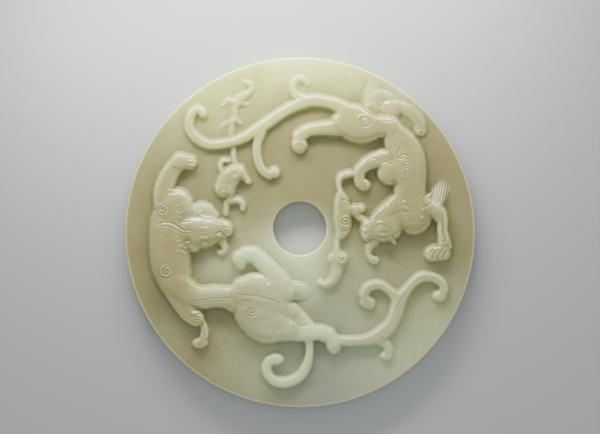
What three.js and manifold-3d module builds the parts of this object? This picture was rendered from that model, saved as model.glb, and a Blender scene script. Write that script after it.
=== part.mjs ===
// Jade bi disc: a pale nephrite disc pierced in the middle, with hornless dragons
// carved in high relief on its upper face. It is one carved piece, lying on its plain
// back. Millimetres, +Z up, +Y towards the top of the carving, origin at the middle
// of the underside.
import * as THREE from "three";
import { mergeVertices } from "three/addons/utils/BufferGeometryUtils.js";
import Module from "manifold-3d";

const wasm = await Module();
wasm.setup();

// Driving dimensions of the disc
const discDiameter = 150;
const slabThickness = 6.5;
const rimRounding = 0.9;
const holeDiameter = 22.7;
const holeBevel = 0.6;
const holeOffCentre = { x: -0.1, y: 1.65 };
const discSides = 96;
const holeSides = 32;

// How the relief is laid on the disc
const sunkDepth = 0.8;
const fineStep = 3.2;
const broadStep = 4.4;
const capAngles = [40, 75];
const domeAngles = [0, 30, 62];
const domeSidesPerMillimetre = 0.9;
const fewestDomeSides = 12;
const foldLimit = 0.9;

// Cross sections: how square the shoulder of the arch is, and the points along it
const band = { squareness: 4.0, turns: [0, 30, 90], step: fineStep };
const body = { squareness: 2.5, turns: [0, 34, 64, 90], step: broadStep };
const slim = { squareness: 2.5, turns: [0, 40, 90], step: fineStep };

// The forms. A limb has stations [x, y, half width] along its middle and crest heights
// spread evenly over its length. A dome has a middle, two radii, a turn and a crest.
const upperDragon = [
  {
    name: "tail", section: band, crest: [3.2, 2.8, 2.6, 2.4, 2.4],
    stations: [[21, 50.5, 4.2], [15.5, 54.3, 2.9], [10, 55.8, 2.6], [4, 56, 2.8], [-5, 52.5, 2.4],
      [-16, 45.2, 2.7], [-26, 39.2, 2.1], [-36, 37, 2], [-41, 38, 2.2], [-45.3, 41, 2.3],
      [-47.6, 45, 2.2], [-47, 49.4, 2.1], [-44.4, 51.9, 2], [-42, 51.2, 1.9]],
  },
  { name: "tail end", dome: [-41.6, 50.5, 2, 2], turn: 0, crest: 2.3 },
  {
    name: "tail branch up", section: band, crest: [2.4, 1.4],
    stations: [[1.5, 56.5, 2.3], [-1.8, 58.7, 2], [-3.2, 61.8, 1.6], [-1.8, 64.7, 1.5],
      [1.3, 65.3, 1.4], [3.5, 63.5, 1.4]],
  },
  {
    name: "tail branch down", section: band, crest: [2.5, 2.2, 2.4],
    stations: [[-16.8, 43, 2.6], [-18.2, 38, 2], [-18.4, 33.5, 1.9], [-17.6, 29.5, 1.9],
      [-15.7, 26, 1.9], [-13, 24.4, 2]],
  },
  { name: "tail branch bud", dome: [-10.9, 25.2, 2.6, 2.5], turn: 0, crest: 2.5 },
  {
    name: "rump", section: body, crest: [4.2, 4.6, 4.4],
    stations: [[18.5, 47, 5.2], [24, 45.8, 7.7], [28.5, 45.2, 6.9], [32.5, 45.2, 5.2], [37, 45, 5]],
  },
  {
    name: "tail root", section: body, crest: [3.6, 3.6],
    stations: [[19, 51, 3.6], [25, 50.6, 3.6], [31, 46.5, 3.6]],
  },
  {
    name: "hind leg", section: body, crest: [3.6, 3.4],
    stations: [[18, 44.5, 3.9], [12, 44.3, 3.2], [7.2, 44, 2.8], [3.2, 43.2, 2.9], [-0.1, 40.8, 3.2]],
  },
  { name: "hind paw", dome: [-0.2, 37.4, 3.5, 4.1], turn: 0, crest: 3.6 },
  { name: "far rump", dome: [37, 50.2, 4.8, 4.1], turn: -25, crest: 3.5 },
  {
    name: "far hind leg", section: body, crest: [2.8, 2.2],
    stations: [[38.5, 53, 2.9], [43.5, 52.9, 2.6], [47.8, 50.5, 2.7], [50.8, 47, 2.7],
      [52.1, 43.5, 2.9]],
  },
  {
    name: "trunk", section: body, crest: [4, 4.4, 5, 5, 4.4],
    stations: [[38.5, 46, 4], [40.6, 41.4, 5.4], [43.6, 36.5, 7.2], [45.8, 31, 8], [46.6, 25, 7.6],
      [46.8, 19, 7], [47, 13, 7], [48, 8, 6.5]],
  },
  { name: "shoulder", dome: [39, 25.6, 6.3, 5.8], turn: -20, crest: 4.8 },
  {
    name: "foreleg", section: body, crest: [4, 3.6, 3.4],
    stations: [[35.5, 31.2, 4.2], [31.3, 30.2, 3.4], [27.7, 28.3, 2.8], [25.4, 25.6, 2.7],
      [25.3, 22.6, 2.5]],
  },
  { name: "fore paw", dome: [26.9, 20.6, 3.2, 2.7], turn: -25, crest: 3.4 },
  { name: "chest", dome: [49.2, 6.4, 8, 7.2], turn: 50, crest: 4.5 },
  {
    name: "upper foreleg", section: body, crest: [4.2, 3.6, 3.4],
    stations: [[48, 12, 6], [54.5, 10.5, 4.6], [58.6, 8.4, 3.8], [60.8, 5, 2.8], [61, 1, 2.5],
      [61.6, -2.5, 2.7], [61.8, -6, 3.2]],
  },
  {
    name: "near paw", section: body, crest: [3.6, 3.4],
    stations: [[61.2, -8.6, 3.5], [56.6, -9.1, 3.6]],
  },
  {
    name: "elbow hair", section: slim, crest: [2.6, 1.8],
    stations: [[58.2, 10.2, 2.2], [58.8, 14, 3], [59.8, 18.3, 1.9]],
  },
  {
    name: "neck", section: body, crest: [4.4, 4.6],
    stations: [[47, 10, 7.5], [42, 7.5, 7.4], [38, 4.5, 6.6]],
  },
  {
    name: "mane", section: body, crest: [3.8, 3.4],
    stations: [[44, 14.5, 4.2], [40, 12.3, 2.8], [35.6, 8.5, 2.3], [32.6, 5.4, 2]],
  },
  {
    name: "head", section: body, crest: [5, 4.6, 4],
    stations: [[37.8, 2, 6.2], [34, 1, 5.6], [31, 0.7, 4.8], [29.3, 0.4, 3.7]],
  },
  {
    name: "jaw", section: slim, crest: [3.6, 3],
    stations: [[35.5, -2.2, 2.6], [39.2, -3.3, 1.8]],
  },
  {
    name: "beard", section: slim, crest: [2.8, 2.4],
    stations: [[29.6, -3.5, 2], [29, -7.4, 1.4], [30.2, -11, 1.8]],
  },
  { name: "beard curl", dome: [31.8, -11.8, 2, 1.9], turn: 0, crest: 2.4 },
  {
    name: "rump hair", section: slim, crest: [1.4, 0.9],
    stations: [[29.6, 55.2, 2.6], [28.9, 59, 2], [30.2, 62.8, 1.6]],
  },
];

const lowerDragon = [
  {
    name: "raised foreleg", section: body, crest: [3.8, 3.4],
    stations: [[-58.2, 13, 4.6], [-58.2, 17.5, 4.5], [-57, 22, 4.1], [-54.9, 26, 3.8],
      [-52.3, 29, 3.8]],
  },
  { name: "raised paw", dome: [-48.4, 29.8, 5.4, 3.6], turn: -4, crest: 3.6 },
  { name: "shoulder", dome: [-52.8, 10.8, 7.5, 8.1], turn: 0, crest: 4.7 },
  {
    name: "trunk", section: body, crest: [4.2, 5, 5, 4.4],
    stations: [[-56.5, 10, 6.2], [-55.5, 4, 8.6], [-55.6, -2, 9.2], [-55.5, -8, 9.2],
      [-55.2, -14, 8.8], [-53.8, -20, 7.6]],
  },
  {
    name: "lower foreleg", section: body, crest: [4.2, 3.8],
    stations: [[-54, -21, 6.4], [-52.3, -26.5, 4.9], [-50, -31, 4.2], [-47.4, -34.6, 3.9],
      [-44.4, -36.7, 3.7]],
  },
  {
    name: "curl below the paw", section: band, crest: [2.2, 2.4],
    stations: [[-41.6, -38.6, 1.6], [-40.8, -41.6, 1.8], [-40.9, -44.4, 2.1]],
  },
  { name: "curl bud", dome: [-42.6, -46.8, 3.8, 2.7], turn: 12, crest: 2.4 },
  {
    name: "waist", section: body, crest: [4.4, 4.2, 4.4],
    stations: [[-52, -22.5, 6], [-47, -26.6, 5.4], [-42, -28.1, 5], [-36.5, -27.5, 4.8],
      [-31.5, -28, 4.9], [-27.5, -28.6, 6.2], [-23, -30, 7]],
  },
  {
    name: "upper rump", section: body, crest: [4.6, 4.4, 3.8],
    stations: [[-23.4, -25.4, 6.4], [-19, -25.1, 8], [-14, -25.6, 7.4], [-9, -25.8, 6.2],
      [-6.5, -26, 4.6]],
  },
  {
    name: "upper hind leg", section: body, crest: [4, 3.4],
    stations: [[-8.5, -22, 5], [-12.2, -17, 4.4], [-16, -12.8, 4.3], [-19.8, -9.9, 3.7],
      [-23.2, -9.7, 3.5]],
  },
  { name: "upper hind paw", dome: [-25.6, -12, 3.1, 4], turn: 12, crest: 3.4 },
  {
    name: "lower rump", section: body, crest: [4.6, 4.6],
    stations: [[-22.4, -34.6, 6], [-19.6, -37.2, 6.8], [-15, -39.6, 7.8], [-9.5, -40.2, 6.6],
      [-5, -41.4, 5]],
  },
  {
    name: "back of the rump", section: body, crest: [4.4, 3.6],
    stations: [[-17, -32, 7], [-10, -32.5, 6], [-4.6, -33.8, 3.8]],
  },
  {
    name: "lower hind leg", section: body, crest: [3.8, 3.4],
    stations: [[-5, -41.8, 4.6], [0.5, -43.5, 3.4], [5, -43.1, 3.6], [9, -42.9, 3.2], [12.2, -44, 3.3]],
  },
  { name: "lower hind paw", dome: [14.1, -47.6, 3.5, 4.9], turn: 6, crest: 3.4 },
  {
    name: "tail", section: band, crest: [2.8, 2.4, 2.6, 2.4],
    stations: [[-4, -33.5, 3.4], [0.2, -37.2, 3.4], [5, -41.5, 2.9], [12, -45.4, 2.2],
      [18.5, -46.6, 2.2], [25, -46.5, 2.1], [30, -45.8, 2.5], [34.6, -43.7, 3.3],
      [38.2, -40.3, 2.9], [40.5, -36.2, 2.9], [41.9, -31.5, 3.1], [43.4, -27.8, 2.8],
      [45.8, -24.6, 2.1], [48.4, -21.6, 2.1], [51.6, -19.4, 2.3], [54.8, -19, 2.2],
      [58, -19.8, 2.1], [60.7, -21.8, 2.1], [61.6, -24.6, 2.1]],
  },
  { name: "tail bud", dome: [59.7, -27.2, 3.3, 2.6], turn: 12, crest: 2.5 },
  {
    name: "tail branch", section: band, crest: [2.5, 2.2, 2.4],
    stations: [[41.8, -29.5, 2.6], [40, -26.6, 2.2], [37.7, -24.6, 1.9], [35, -22.9, 2],
      [31.9, -22.7, 2], [29, -23.9, 2.3], [27.4, -26.6, 2.4]],
  },
  { name: "tail branch bud", dome: [28.8, -30, 3.9, 3.1], turn: -28, crest: 2.5 },
  {
    name: "tail spur", section: band, crest: [2.2, 1.8],
    stations: [[33.6, -45.6, 2.6], [36.6, -47.8, 2.1], [38, -50.4, 1.9]],
  },
  { name: "tail spur bud", dome: [36.9, -52.7, 3, 2.2], turn: 12, crest: 1.9 },
  {
    name: "lower tail curl", section: band, crest: [2.4, 2.2, 2.4],
    stations: [[3.2, -44, 2.2], [4, -48, 1.8], [4, -52, 1.75], [3.1, -56.4, 2.1],
      [0.9, -60.4, 2.3], [-2.4, -63.1, 2.3], [-6.6, -64.4, 2.2], [-10.8, -63.6, 2.2],
      [-13.6, -61, 2.2], [-14.3, -57.6, 2.2], [-13, -55, 2.3]],
  },
  { name: "lower tail curl bud", dome: [-10.4, -54.2, 3.9, 2.7], turn: 0, crest: 2.5 },
  {
    name: "rump hair", section: slim, crest: [2.2, 1.4],
    stations: [[-5, -25, 3.6], [-1, -24.6, 3], [1.6, -24.4, 2.6]],
  },
  {
    name: "head", section: body, crest: [5, 4.6, 3.8],
    stations: [[-39.8, 0.2, 5.6], [-36.5, 0.8, 5.4], [-33, 1.1, 4.6], [-31, 1.2, 3.4]],
  },
  {
    name: "brow", section: slim, crest: [3.8, 3.6],
    stations: [[-41.6, 4.8, 2.4], [-36, 3.6, 2.6]],
  },
  {
    name: "jaw", section: slim, crest: [3.4, 3],
    stations: [[-41.8, -6.2, 1.9], [-38, -3.2, 3], [-32.3, -2.6, 2]],
  },
  {
    name: "mane", section: body, crest: [3.2, 2],
    stations: [[-44.5, 7.5, 3], [-41.2, 9.4, 3.2], [-38.4, 10.2, 3]],
  },
  {
    name: "beard", section: slim, crest: [2.2, 2],
    stations: [[-33.2, -4, 1.8], [-32.8, -8, 2.1]],
  },
  {
    name: "cheek", section: body, crest: [4.2, 4],
    stations: [[-47.5, 3, 4.5], [-45, -1, 4.5], [-45.5, -5, 3.6]],
  },
];

const holeDragon = [
  {
    name: "raised arm", section: slim, crest: [2.6, 2.4],
    stations: [[22.6, 24.8, 1.5], [19.6, 24.5, 1.8], [17, 23.2, 1.8], [16.5, 20, 1.4], [17, 17, 1.6]],
  },
  {
    name: "trunk", section: body, crest: [2.8, 3.4, 3],
    stations: [[17.3, 16, 2], [18, 13, 3.1], [18.2, 9, 3.2], [18.6, 4, 3.5], [18.6, 0.5, 2.9],
      [17.8, -1.3, 1.8]],
  },
  {
    name: "foot", section: slim, crest: [2.8, 2.6],
    stations: [[21, 8.8, 2.6], [24.5, 8.8, 2.6], [26.6, 10.3, 1.7]],
  },
  {
    name: "toe", section: slim, crest: [2.4, 2.4],
    stations: [[24.5, 7.6, 2], [28, 4.8, 1.8]],
  },
  { name: "hip", dome: [17.2, -11.2, 3.5, 3.1], turn: 0, crest: 2.8 },
  {
    name: "tail", section: slim, crest: [2.2, 2.2, 2.4, 1.8],
    stations: [[16.5, -2, 1.5], [16, -5.5, 1.2], [16.1, -8, 1.6], [16.6, -11.2, 3.2],
      [16, -15, 2.5], [15.7, -18.2, 2.2], [13.8, -21.2, 1.9], [11, -22.5, 1.7], [8.8, -21.6, 1.5],
      [8.4, -19.8, 1.2]],
  },
  {
    name: "hind foot", section: slim, crest: [1.6, 1.2],
    stations: [[15.5, -11, 1.6], [13.6, -10.2, 1.2]],
  },
];

const climbingDragon = [
  {
    name: "neck", section: slim, crest: [1.4, 1.4],
    stations: [[-28.4, 38, 1.4], [-28.6, 34, 1.2], [-28, 30, 1.4]],
  },
  {
    name: "chest", section: body, crest: [3.4, 3],
    stations: [[-28, 25.2, 3.9], [-31, 22, 4.6], [-32.2, 18.8, 4.3]],
  },
  {
    name: "arm", section: slim, crest: [2.8, 2.2],
    stations: [[-26.2, 25.6, 3.2], [-23.4, 23, 2.2], [-22.2, 21.7, 1.5]],
  },
  {
    name: "ear", section: slim, crest: [1.8, 1.8],
    stations: [[-33.2, 25.4, 1.3], [-33.6, 28.6, 1.1], [-32.3, 30.5, 1], [-30.2, 30.7, 0.9]],
  },
  { name: "hip", dome: [-31.2, 18.3, 4.9, 3.7], turn: -12, crest: 3.3 },
  {
    name: "tail", section: slim, crest: [2.4, 2, 1.8],
    stations: [[-30.4, 16, 2], [-30.7, 13, 1.7], [-28.9, 13.2, 1.5], [-26.8, 13.2, 1.8],
      [-24.8, 11.8, 1.8], [-23.9, 10, 1.5]],
  },
  {
    name: "tail tip", section: slim, crest: [1.8, 1.4],
    stations: [[-31, 12.5, 1.6], [-31.4, 8, 1.2]],
  },
  {
    name: "back", section: slim, crest: [1.6, 1.5, 1.4],
    stations: [[-29.6, 40.5, 1.4], [-29.4, 45, 1.3], [-28.3, 49.5, 1.6], [-28.2, 53, 1.7],
      [-26.4, 56, 2], [-23.5, 58.2, 1.7], [-21.2, 60.5, 1.2], [-21.6, 63.3, 1.1], [-24, 64.3, 1]],
  },
  {
    name: "right leg", section: slim, crest: [1.5, 1.3],
    stations: [[-29.2, 47.4, 1.4], [-27.2, 48.4, 1.3], [-25.6, 46.4, 1.1]],
  },
  {
    name: "left leg", section: slim, crest: [1.2, 1],
    stations: [[-29.5, 46.6, 1.3], [-32, 46.4, 1.2], [-33.8, 46.4, 1.1]],
  },
  {
    name: "right hand", section: slim, crest: [1.3, 1.1],
    stations: [[-26.6, 55, 1.4], [-24.2, 54.8, 1], [-22.6, 54.6, 0.9]],
  },
  {
    name: "left hand", section: slim, crest: [1.2, 0.9],
    stations: [[-28.4, 54.6, 1.4], [-31, 54.4, 1.1], [-32.9, 54.1, 1]],
  },
];

const degrees = THREE.MathUtils.degToRad;

// A closed mesh made solid, so that it can be joined and cut
function solidOf(geometry) {
  const bare = geometry.clone();
  bare.deleteAttribute("normal");
  bare.deleteAttribute("uv");
  const merged = mergeVertices(bare, 1e-4);
  return new wasm.Manifold(new wasm.Mesh({
    numProp: 3,
    vertProperties: new Float32Array(merged.attributes.position.array),
    triVerts: new Uint32Array(merged.index.array),
  }));
}

function geometryOf(solid) {
  const mesh = solid.getMesh();
  const geometry = new THREE.BufferGeometry();
  geometry.setAttribute("position", new THREE.BufferAttribute(mesh.vertProperties, 3));
  geometry.setIndex(new THREE.BufferAttribute(mesh.triVerts, 1));
  geometry.computeVertexNormals();
  return geometry;
}

// Turned profiles are drawn as [radius, z] and stood upright about Z
function turned(profile, sides) {
  const points = profile.map(([radius, z]) => new THREE.Vector2(radius, z));
  return new THREE.LatheGeometry(points, sides).rotateX(Math.PI / 2);
}

// The half arch across a form, from one foot over the crest to the other, as
// [fraction of the half width, fraction of the crest height]
function archOf({ squareness, turns }) {
  const power = 2 / squareness;
  const side = turns.map((turn) => [
    Math.cos(degrees(turn)) ** power,
    Math.sin(degrees(turn)) ** power,
  ]);
  const mirrored = side.slice(0, -1).reverse().map(([across, up]) => [-across, up]);
  return [...side, ...mirrored];
}

// Rings of equal length become one closed skin, with a fan over each end
function skinOf(rings) {
  const count = rings[0].length;
  const position = rings.flat().flatMap((point) => point.toArray());
  const index = [];
  for (let ring = 0; ring < rings.length - 1; ring += 1) {
    for (let k = 0; k < count; k += 1) {
      const here = ring * count + k;
      const next = ring * count + (k + 1) % count;
      index.push(here, next, here + count, next, next + count, here + count);
    }
  }
  const last = (rings.length - 1) * count;
  for (let k = 1; k < count - 1; k += 1) {
    index.push(0, k + 1, k);
    index.push(last, last + k, last + k + 1);
  }
  const geometry = new THREE.BufferGeometry();
  geometry.setAttribute("position", new THREE.Float32BufferAttribute(position, 3));
  geometry.setIndex(index);
  return geometry;
}

// One ring across a limb: the arch above the face and a foot sunk into the slab.
// The inner side of a tight bend is drawn in so that rings don't cross.
function ringAt(place, across, halfWidth, crest, arch, bendLeft, bendRight) {
  const top = arch.map(([side, up]) => {
    const reach = halfWidth * side;
    const kept = side > 0 ? Math.min(reach, bendLeft) : Math.max(reach, -bendRight);
    const height = slabThickness + crest * up;
    return new THREE.Vector3(place.x + across.x * kept, place.y + across.y * kept, height);
  });
  const foot = slabThickness - sunkDepth;
  const feet = [top[top.length - 1], top[0]].map((point) => point.clone().setZ(foot));
  return [...top, ...feet];
}

function crestAt(crest, fraction) {
  const place = fraction * (crest.length - 1);
  const low = Math.min(Math.floor(place), crest.length - 2);
  return THREE.MathUtils.lerp(crest[low], crest[low + 1], place - low);
}

// A limb is lofted along a curve through its stations, with a rounded cap at each end
function limbOf({ section, crest, stations }) {
  const points = stations.map((station) => new THREE.Vector3(...station));
  const curve = new THREE.CatmullRomCurve3(points, false, "catmullrom", 0.5);
  const steps = Math.max(2, Math.round(curve.getLength() / section.step));
  const arch = archOf(section);
  const middle = [];
  for (let k = 0; k <= steps; k += 1) {
    const point = curve.getPointAt(k / steps);
    const along = curve.getTangentAt(k / steps);
    middle.push({ point, along: new THREE.Vector2(along.x, along.y).normalize() });
  }
  const rings = [];
  const acrossOf = (along) => new THREE.Vector2(-along.y, along.x);
  const capRing = ({ point, along }, angle, sign, height) => {
    const out = point.z * Math.sin(degrees(angle)) * sign;
    const place = new THREE.Vector2(point.x + along.x * out, point.y + along.y * out);
    const shrink = Math.cos(degrees(angle));
    const lowered = height * Math.sqrt(shrink);
    return ringAt(place, acrossOf(along), point.z * shrink, lowered, arch, Infinity, Infinity);
  };
  [...capAngles].reverse().forEach((angle) => {
    rings.push(capRing(middle[0], angle, -1, crestAt(crest, 0)));
  });
  middle.forEach(({ point, along }, k) => {
    const before = middle[Math.max(k - 1, 0)];
    const after = middle[Math.min(k + 1, steps)];
    const turning = before.along.cross(after.along);
    const length = before.point.distanceTo(after.point);
    const radius = foldLimit * length / Math.max(Math.abs(turning), 1e-6);
    const bendLeft = turning > 0 ? radius : Infinity;
    const bendRight = turning < 0 ? radius : Infinity;
    const height = crestAt(crest, k / steps);
    rings.push(ringAt(point, acrossOf(along), point.z, height, arch, bendLeft, bendRight));
  });
  capAngles.forEach((angle) => {
    rings.push(capRing(middle[steps], angle, 1, crestAt(crest, 1)));
  });
  return solidOf(skinOf(rings));
}

// A dome is the upper half of a squared ball, stretched over its two radii
function domeOf({ dome: [x, y, radiusX, radiusY], turn, crest }) {
  const power = 2 / body.squareness;
  const profile = [[0, -sunkDepth], [1, -sunkDepth]];
  domeAngles.forEach((angle) => {
    profile.push([Math.cos(degrees(angle)) ** power, crest * Math.sin(degrees(angle)) ** power]);
  });
  profile.push([0, crest]);
  const sides = Math.max(fewestDomeSides, 2 * Math.round((radiusX + radiusY) * domeSidesPerMillimetre));
  const geometry = turned(profile, sides);
  geometry.scale(radiusX, radiusY, 1);
  geometry.rotateZ(degrees(turn));
  geometry.translate(x, y, slabThickness);
  return solidOf(geometry);
}

function discOf() {
  const radius = discDiameter / 2;
  const half = rimRounding * (1 - Math.SQRT1_2);
  const profile = [
    [0, 0],
    [radius - rimRounding, 0],
    [radius - half, half],
    [radius, rimRounding],
    [radius, slabThickness - rimRounding],
    [radius - half, slabThickness - half],
    [radius - rimRounding, slabThickness],
    [0, slabThickness],
  ];
  return solidOf(turned(profile, discSides));
}

// The drill that opens the middle hole, flared where it meets both faces
function drillOf() {
  const radius = holeDiameter / 2;
  const past = 1;
  const profile = [
    [0, -past],
    [radius + holeBevel + past, -past],
    [radius, holeBevel],
    [radius, slabThickness - holeBevel],
    [radius + holeBevel + past, slabThickness + past],
    [0, slabThickness + past],
  ];
  const geometry = turned(profile, holeSides);
  geometry.translate(holeOffCentre.x, holeOffCentre.y, 0);
  return solidOf(geometry);
}

function carvedDisc() {
  let solid = discOf().subtract(drillOf());
  const forms = [...climbingDragon, ...holeDragon, ...lowerDragon, ...upperDragon];
  forms.forEach((form) => {
    solid = solid.add(form.dome ? domeOf(form) : limbOf(form));
  });
  return geometryOf(solid);
}

const jade = new THREE.MeshStandardMaterial({ color: 0xbdbb93, roughness: 0.3, metalness: 0 });
const disc = new THREE.Mesh(carvedDisc(), jade);
disc.name = "jade_bi_disc";

const group = new THREE.Group();
group.add(disc);

export default group;
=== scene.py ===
"""Jade bi disc: a pale nephrite disc with hornless dragons carved in high relief.

The carved face is one height field, laid on the disc: broad limbs first, then the
cutter's finer work, such as locks of hair, claws, curls and faces. The field becomes a
closed mesh with a turned rim, a bored hole and a plain back. Relief sizes and places are
in millimetres, from the disc's middle, as a carver would mark them out; the mesh is in
metres, in the frame of the part.
"""
import math

import bpy
import numpy as np
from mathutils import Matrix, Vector


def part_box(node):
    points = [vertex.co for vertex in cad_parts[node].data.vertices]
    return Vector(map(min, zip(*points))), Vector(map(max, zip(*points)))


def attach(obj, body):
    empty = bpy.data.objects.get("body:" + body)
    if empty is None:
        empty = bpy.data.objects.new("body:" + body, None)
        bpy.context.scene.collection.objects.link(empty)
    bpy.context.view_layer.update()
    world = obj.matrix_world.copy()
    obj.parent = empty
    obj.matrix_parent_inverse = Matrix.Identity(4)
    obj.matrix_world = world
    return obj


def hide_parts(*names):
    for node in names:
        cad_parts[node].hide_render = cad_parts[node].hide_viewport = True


bl_info = {
    "name": "Jade bi disc",
    "version": (1, 0, 0),
    "blender": (4, 5, 0),
    "location": "View3D > Sidebar > Jade disc",
    "description": "Carves a jade disc with dragons in relief and lights it in a plain studio",
    "category": "Add Mesh",
}

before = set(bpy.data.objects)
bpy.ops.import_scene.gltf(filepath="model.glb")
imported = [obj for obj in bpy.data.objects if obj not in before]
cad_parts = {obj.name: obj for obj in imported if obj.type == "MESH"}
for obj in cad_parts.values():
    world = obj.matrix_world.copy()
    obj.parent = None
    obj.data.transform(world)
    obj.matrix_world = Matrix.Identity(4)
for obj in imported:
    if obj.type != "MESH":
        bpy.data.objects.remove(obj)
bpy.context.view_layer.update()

MM = 0.001
NODE = "jade_bi_disc"
DISC_LOW, DISC_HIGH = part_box(NODE)
DISC_RADIUS = (DISC_HIGH[0] - DISC_LOW[0]) / 2
WHOLE_HEIGHT = DISC_HIGH[2] - DISC_LOW[2]
HIGHEST_RELIEF = 5.0 * MM
SLAB = WHOLE_HEIGHT - HIGHEST_RELIEF

# Cross sections: how square the arch is, and how steeply it leaves the ground
BODY = (4, 0.64)
SOFT = (3.4, 0.82)
BAND = (4.6, 0.6)
SLIM = (2.6, 0.7)

# How the tool follows a line, in millimetres: its step, and the share of depth that a stroke starts at
PATH_STEP = 0.35
STROKE_TAPER = 1.2
STROKE_END = 0.35
PIT_DEPTH = 0.5
# A curl ends at this share of its radius; its ridge lies this many line widths outside the groove
CURL_HEART = 0.22
CURL_RIDGE = 0.75
# How far the forms and the cuts are smoothed, and how gently the tops end, in millimetres
FORM_SOFTENING = 0.4
CUT_SOFTENING = 0.12
TOP_EASE = 0.5

# Marks kept for the stone's colour and for its painted shade and painted highlights, in millimetres: reach
# of the blur behind each mark, the height where a form's skin begins, and the difference at which a mark is
# full
FINE_REACH = 0.6
POCKET_REACH = 3.4
FORM_FOOT = 0.8
POCKET_FULL = 1.8
EDGE_FULL = 0.22
LINE_FULL = 0.16
FACE_MARGIN = 1.0

# Mesh: the sheet stops this many cells short of an edge, and it alone is thinned, by weight
EDGE_GAP = 0.55
RIM_MARGIN = 0.1 * MM
SHEET_FIRST = 1000.0
SHARP_ANGLE = math.radians(55)
BROAD_FACE_WEIGHT = 70

# Patches of the stone: tint, x, y and reach in millimetres, and strength. The palest patches near the top,
# on the ground and on the forms, are painted light: the glow where the light falls from beyond the top.
GROUND_HEIGHT = 8
GROUND_PATCHES = (
    ("painted_top_light", 0, 105, 78, 1.0), ("painted_top_light", -45, 66, 40, 0.35), ("milky", 0, 92, 36, 0.8),
    ("milky", 46, 70, 26, 0.45), ("milky", -4, -16, 34, 0.95), ("grey", 20, -66, 62, 0.85),
    ("milky", 50, -50, 50, 0.5), ("milky", -36, -16, 18, 0.35), ("milky", -20, -52, 30, 0.3),
    ("honey", 66, 8, 34, 0.5), ("honey", -60, 12, 36, 0.5), ("honey", 2, 38, 34, 0.7),
    ("honey", -18, 7, 13, 0.35), ("milky", 26, -10, 22, 0.28), ("milky", -52, -46, 20, 0.1))
STAIN_HEIGHT = 6
STAIN_PATCHES = (("russet", -42, -50, 13, 0.5),)
# Patches on the raised forms; the palest one, in the upper half, is painted light as on the ground
CREST_HEIGHT = 10
CREST_PATCHES = (
    ("milky", -4, -63, 26, 0.9), ("milky", 8, -43, 18, 0.95), ("milky", -38, -26, 14, 0.3),
    ("milky", 50, -30, 30, 0.12), ("milky", -18, -10, 16, 0.9), ("painted_top_light", -16, 50, 40, 0.35),
    ("milky", -40.5, 9.5, 12, 0.45), ("milky", 59.5, 16, 10, 0.35))

# How strongly the marks tint the stone (a lighter cream on the forms that also paints light on their walls,
# painted shade in the pockets, painted shade and some grime in the cut lines, painted highlights on the
# edges), how rough it is and how uneven its polish is
CREAM_ON_FORMS = 0.32
PAINTED_SHADE_IN_POCKETS = 0.75
GRIME_AND_SHADE_IN_LINES = 0.2
PAINTED_HIGHLIGHT_ON_EDGES = 0.5
DULL_GROUND = 0.34
POLISHED_CREST = 0.18
PLAIN_POLISH = (0.2, 0.3)
CARVED_BUMP = 0.25
PLAIN_BUMP = 0.1
BUMP_DEPTH = 0.12 * MM

# The studio: for each light its place, aim, size and spread in degrees
KEY_LIGHT = ((-0.02, 0.15, 0.075), (0, 0.05, 0), (0.22, 0.03), 140)
FILL_LIGHT = ((0.0, -0.1, 0.9), (0, 0, 0), (0.9, 0.9), 180)
SKY_COLOUR = (0.9, 0.95, 1.0, 1)
SKY_STRENGTH = 0.62
FLOOR_REACH = 2.0
FLOOR_DROP = 0.2 * MM
SENSOR_WIDTH = 36


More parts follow.
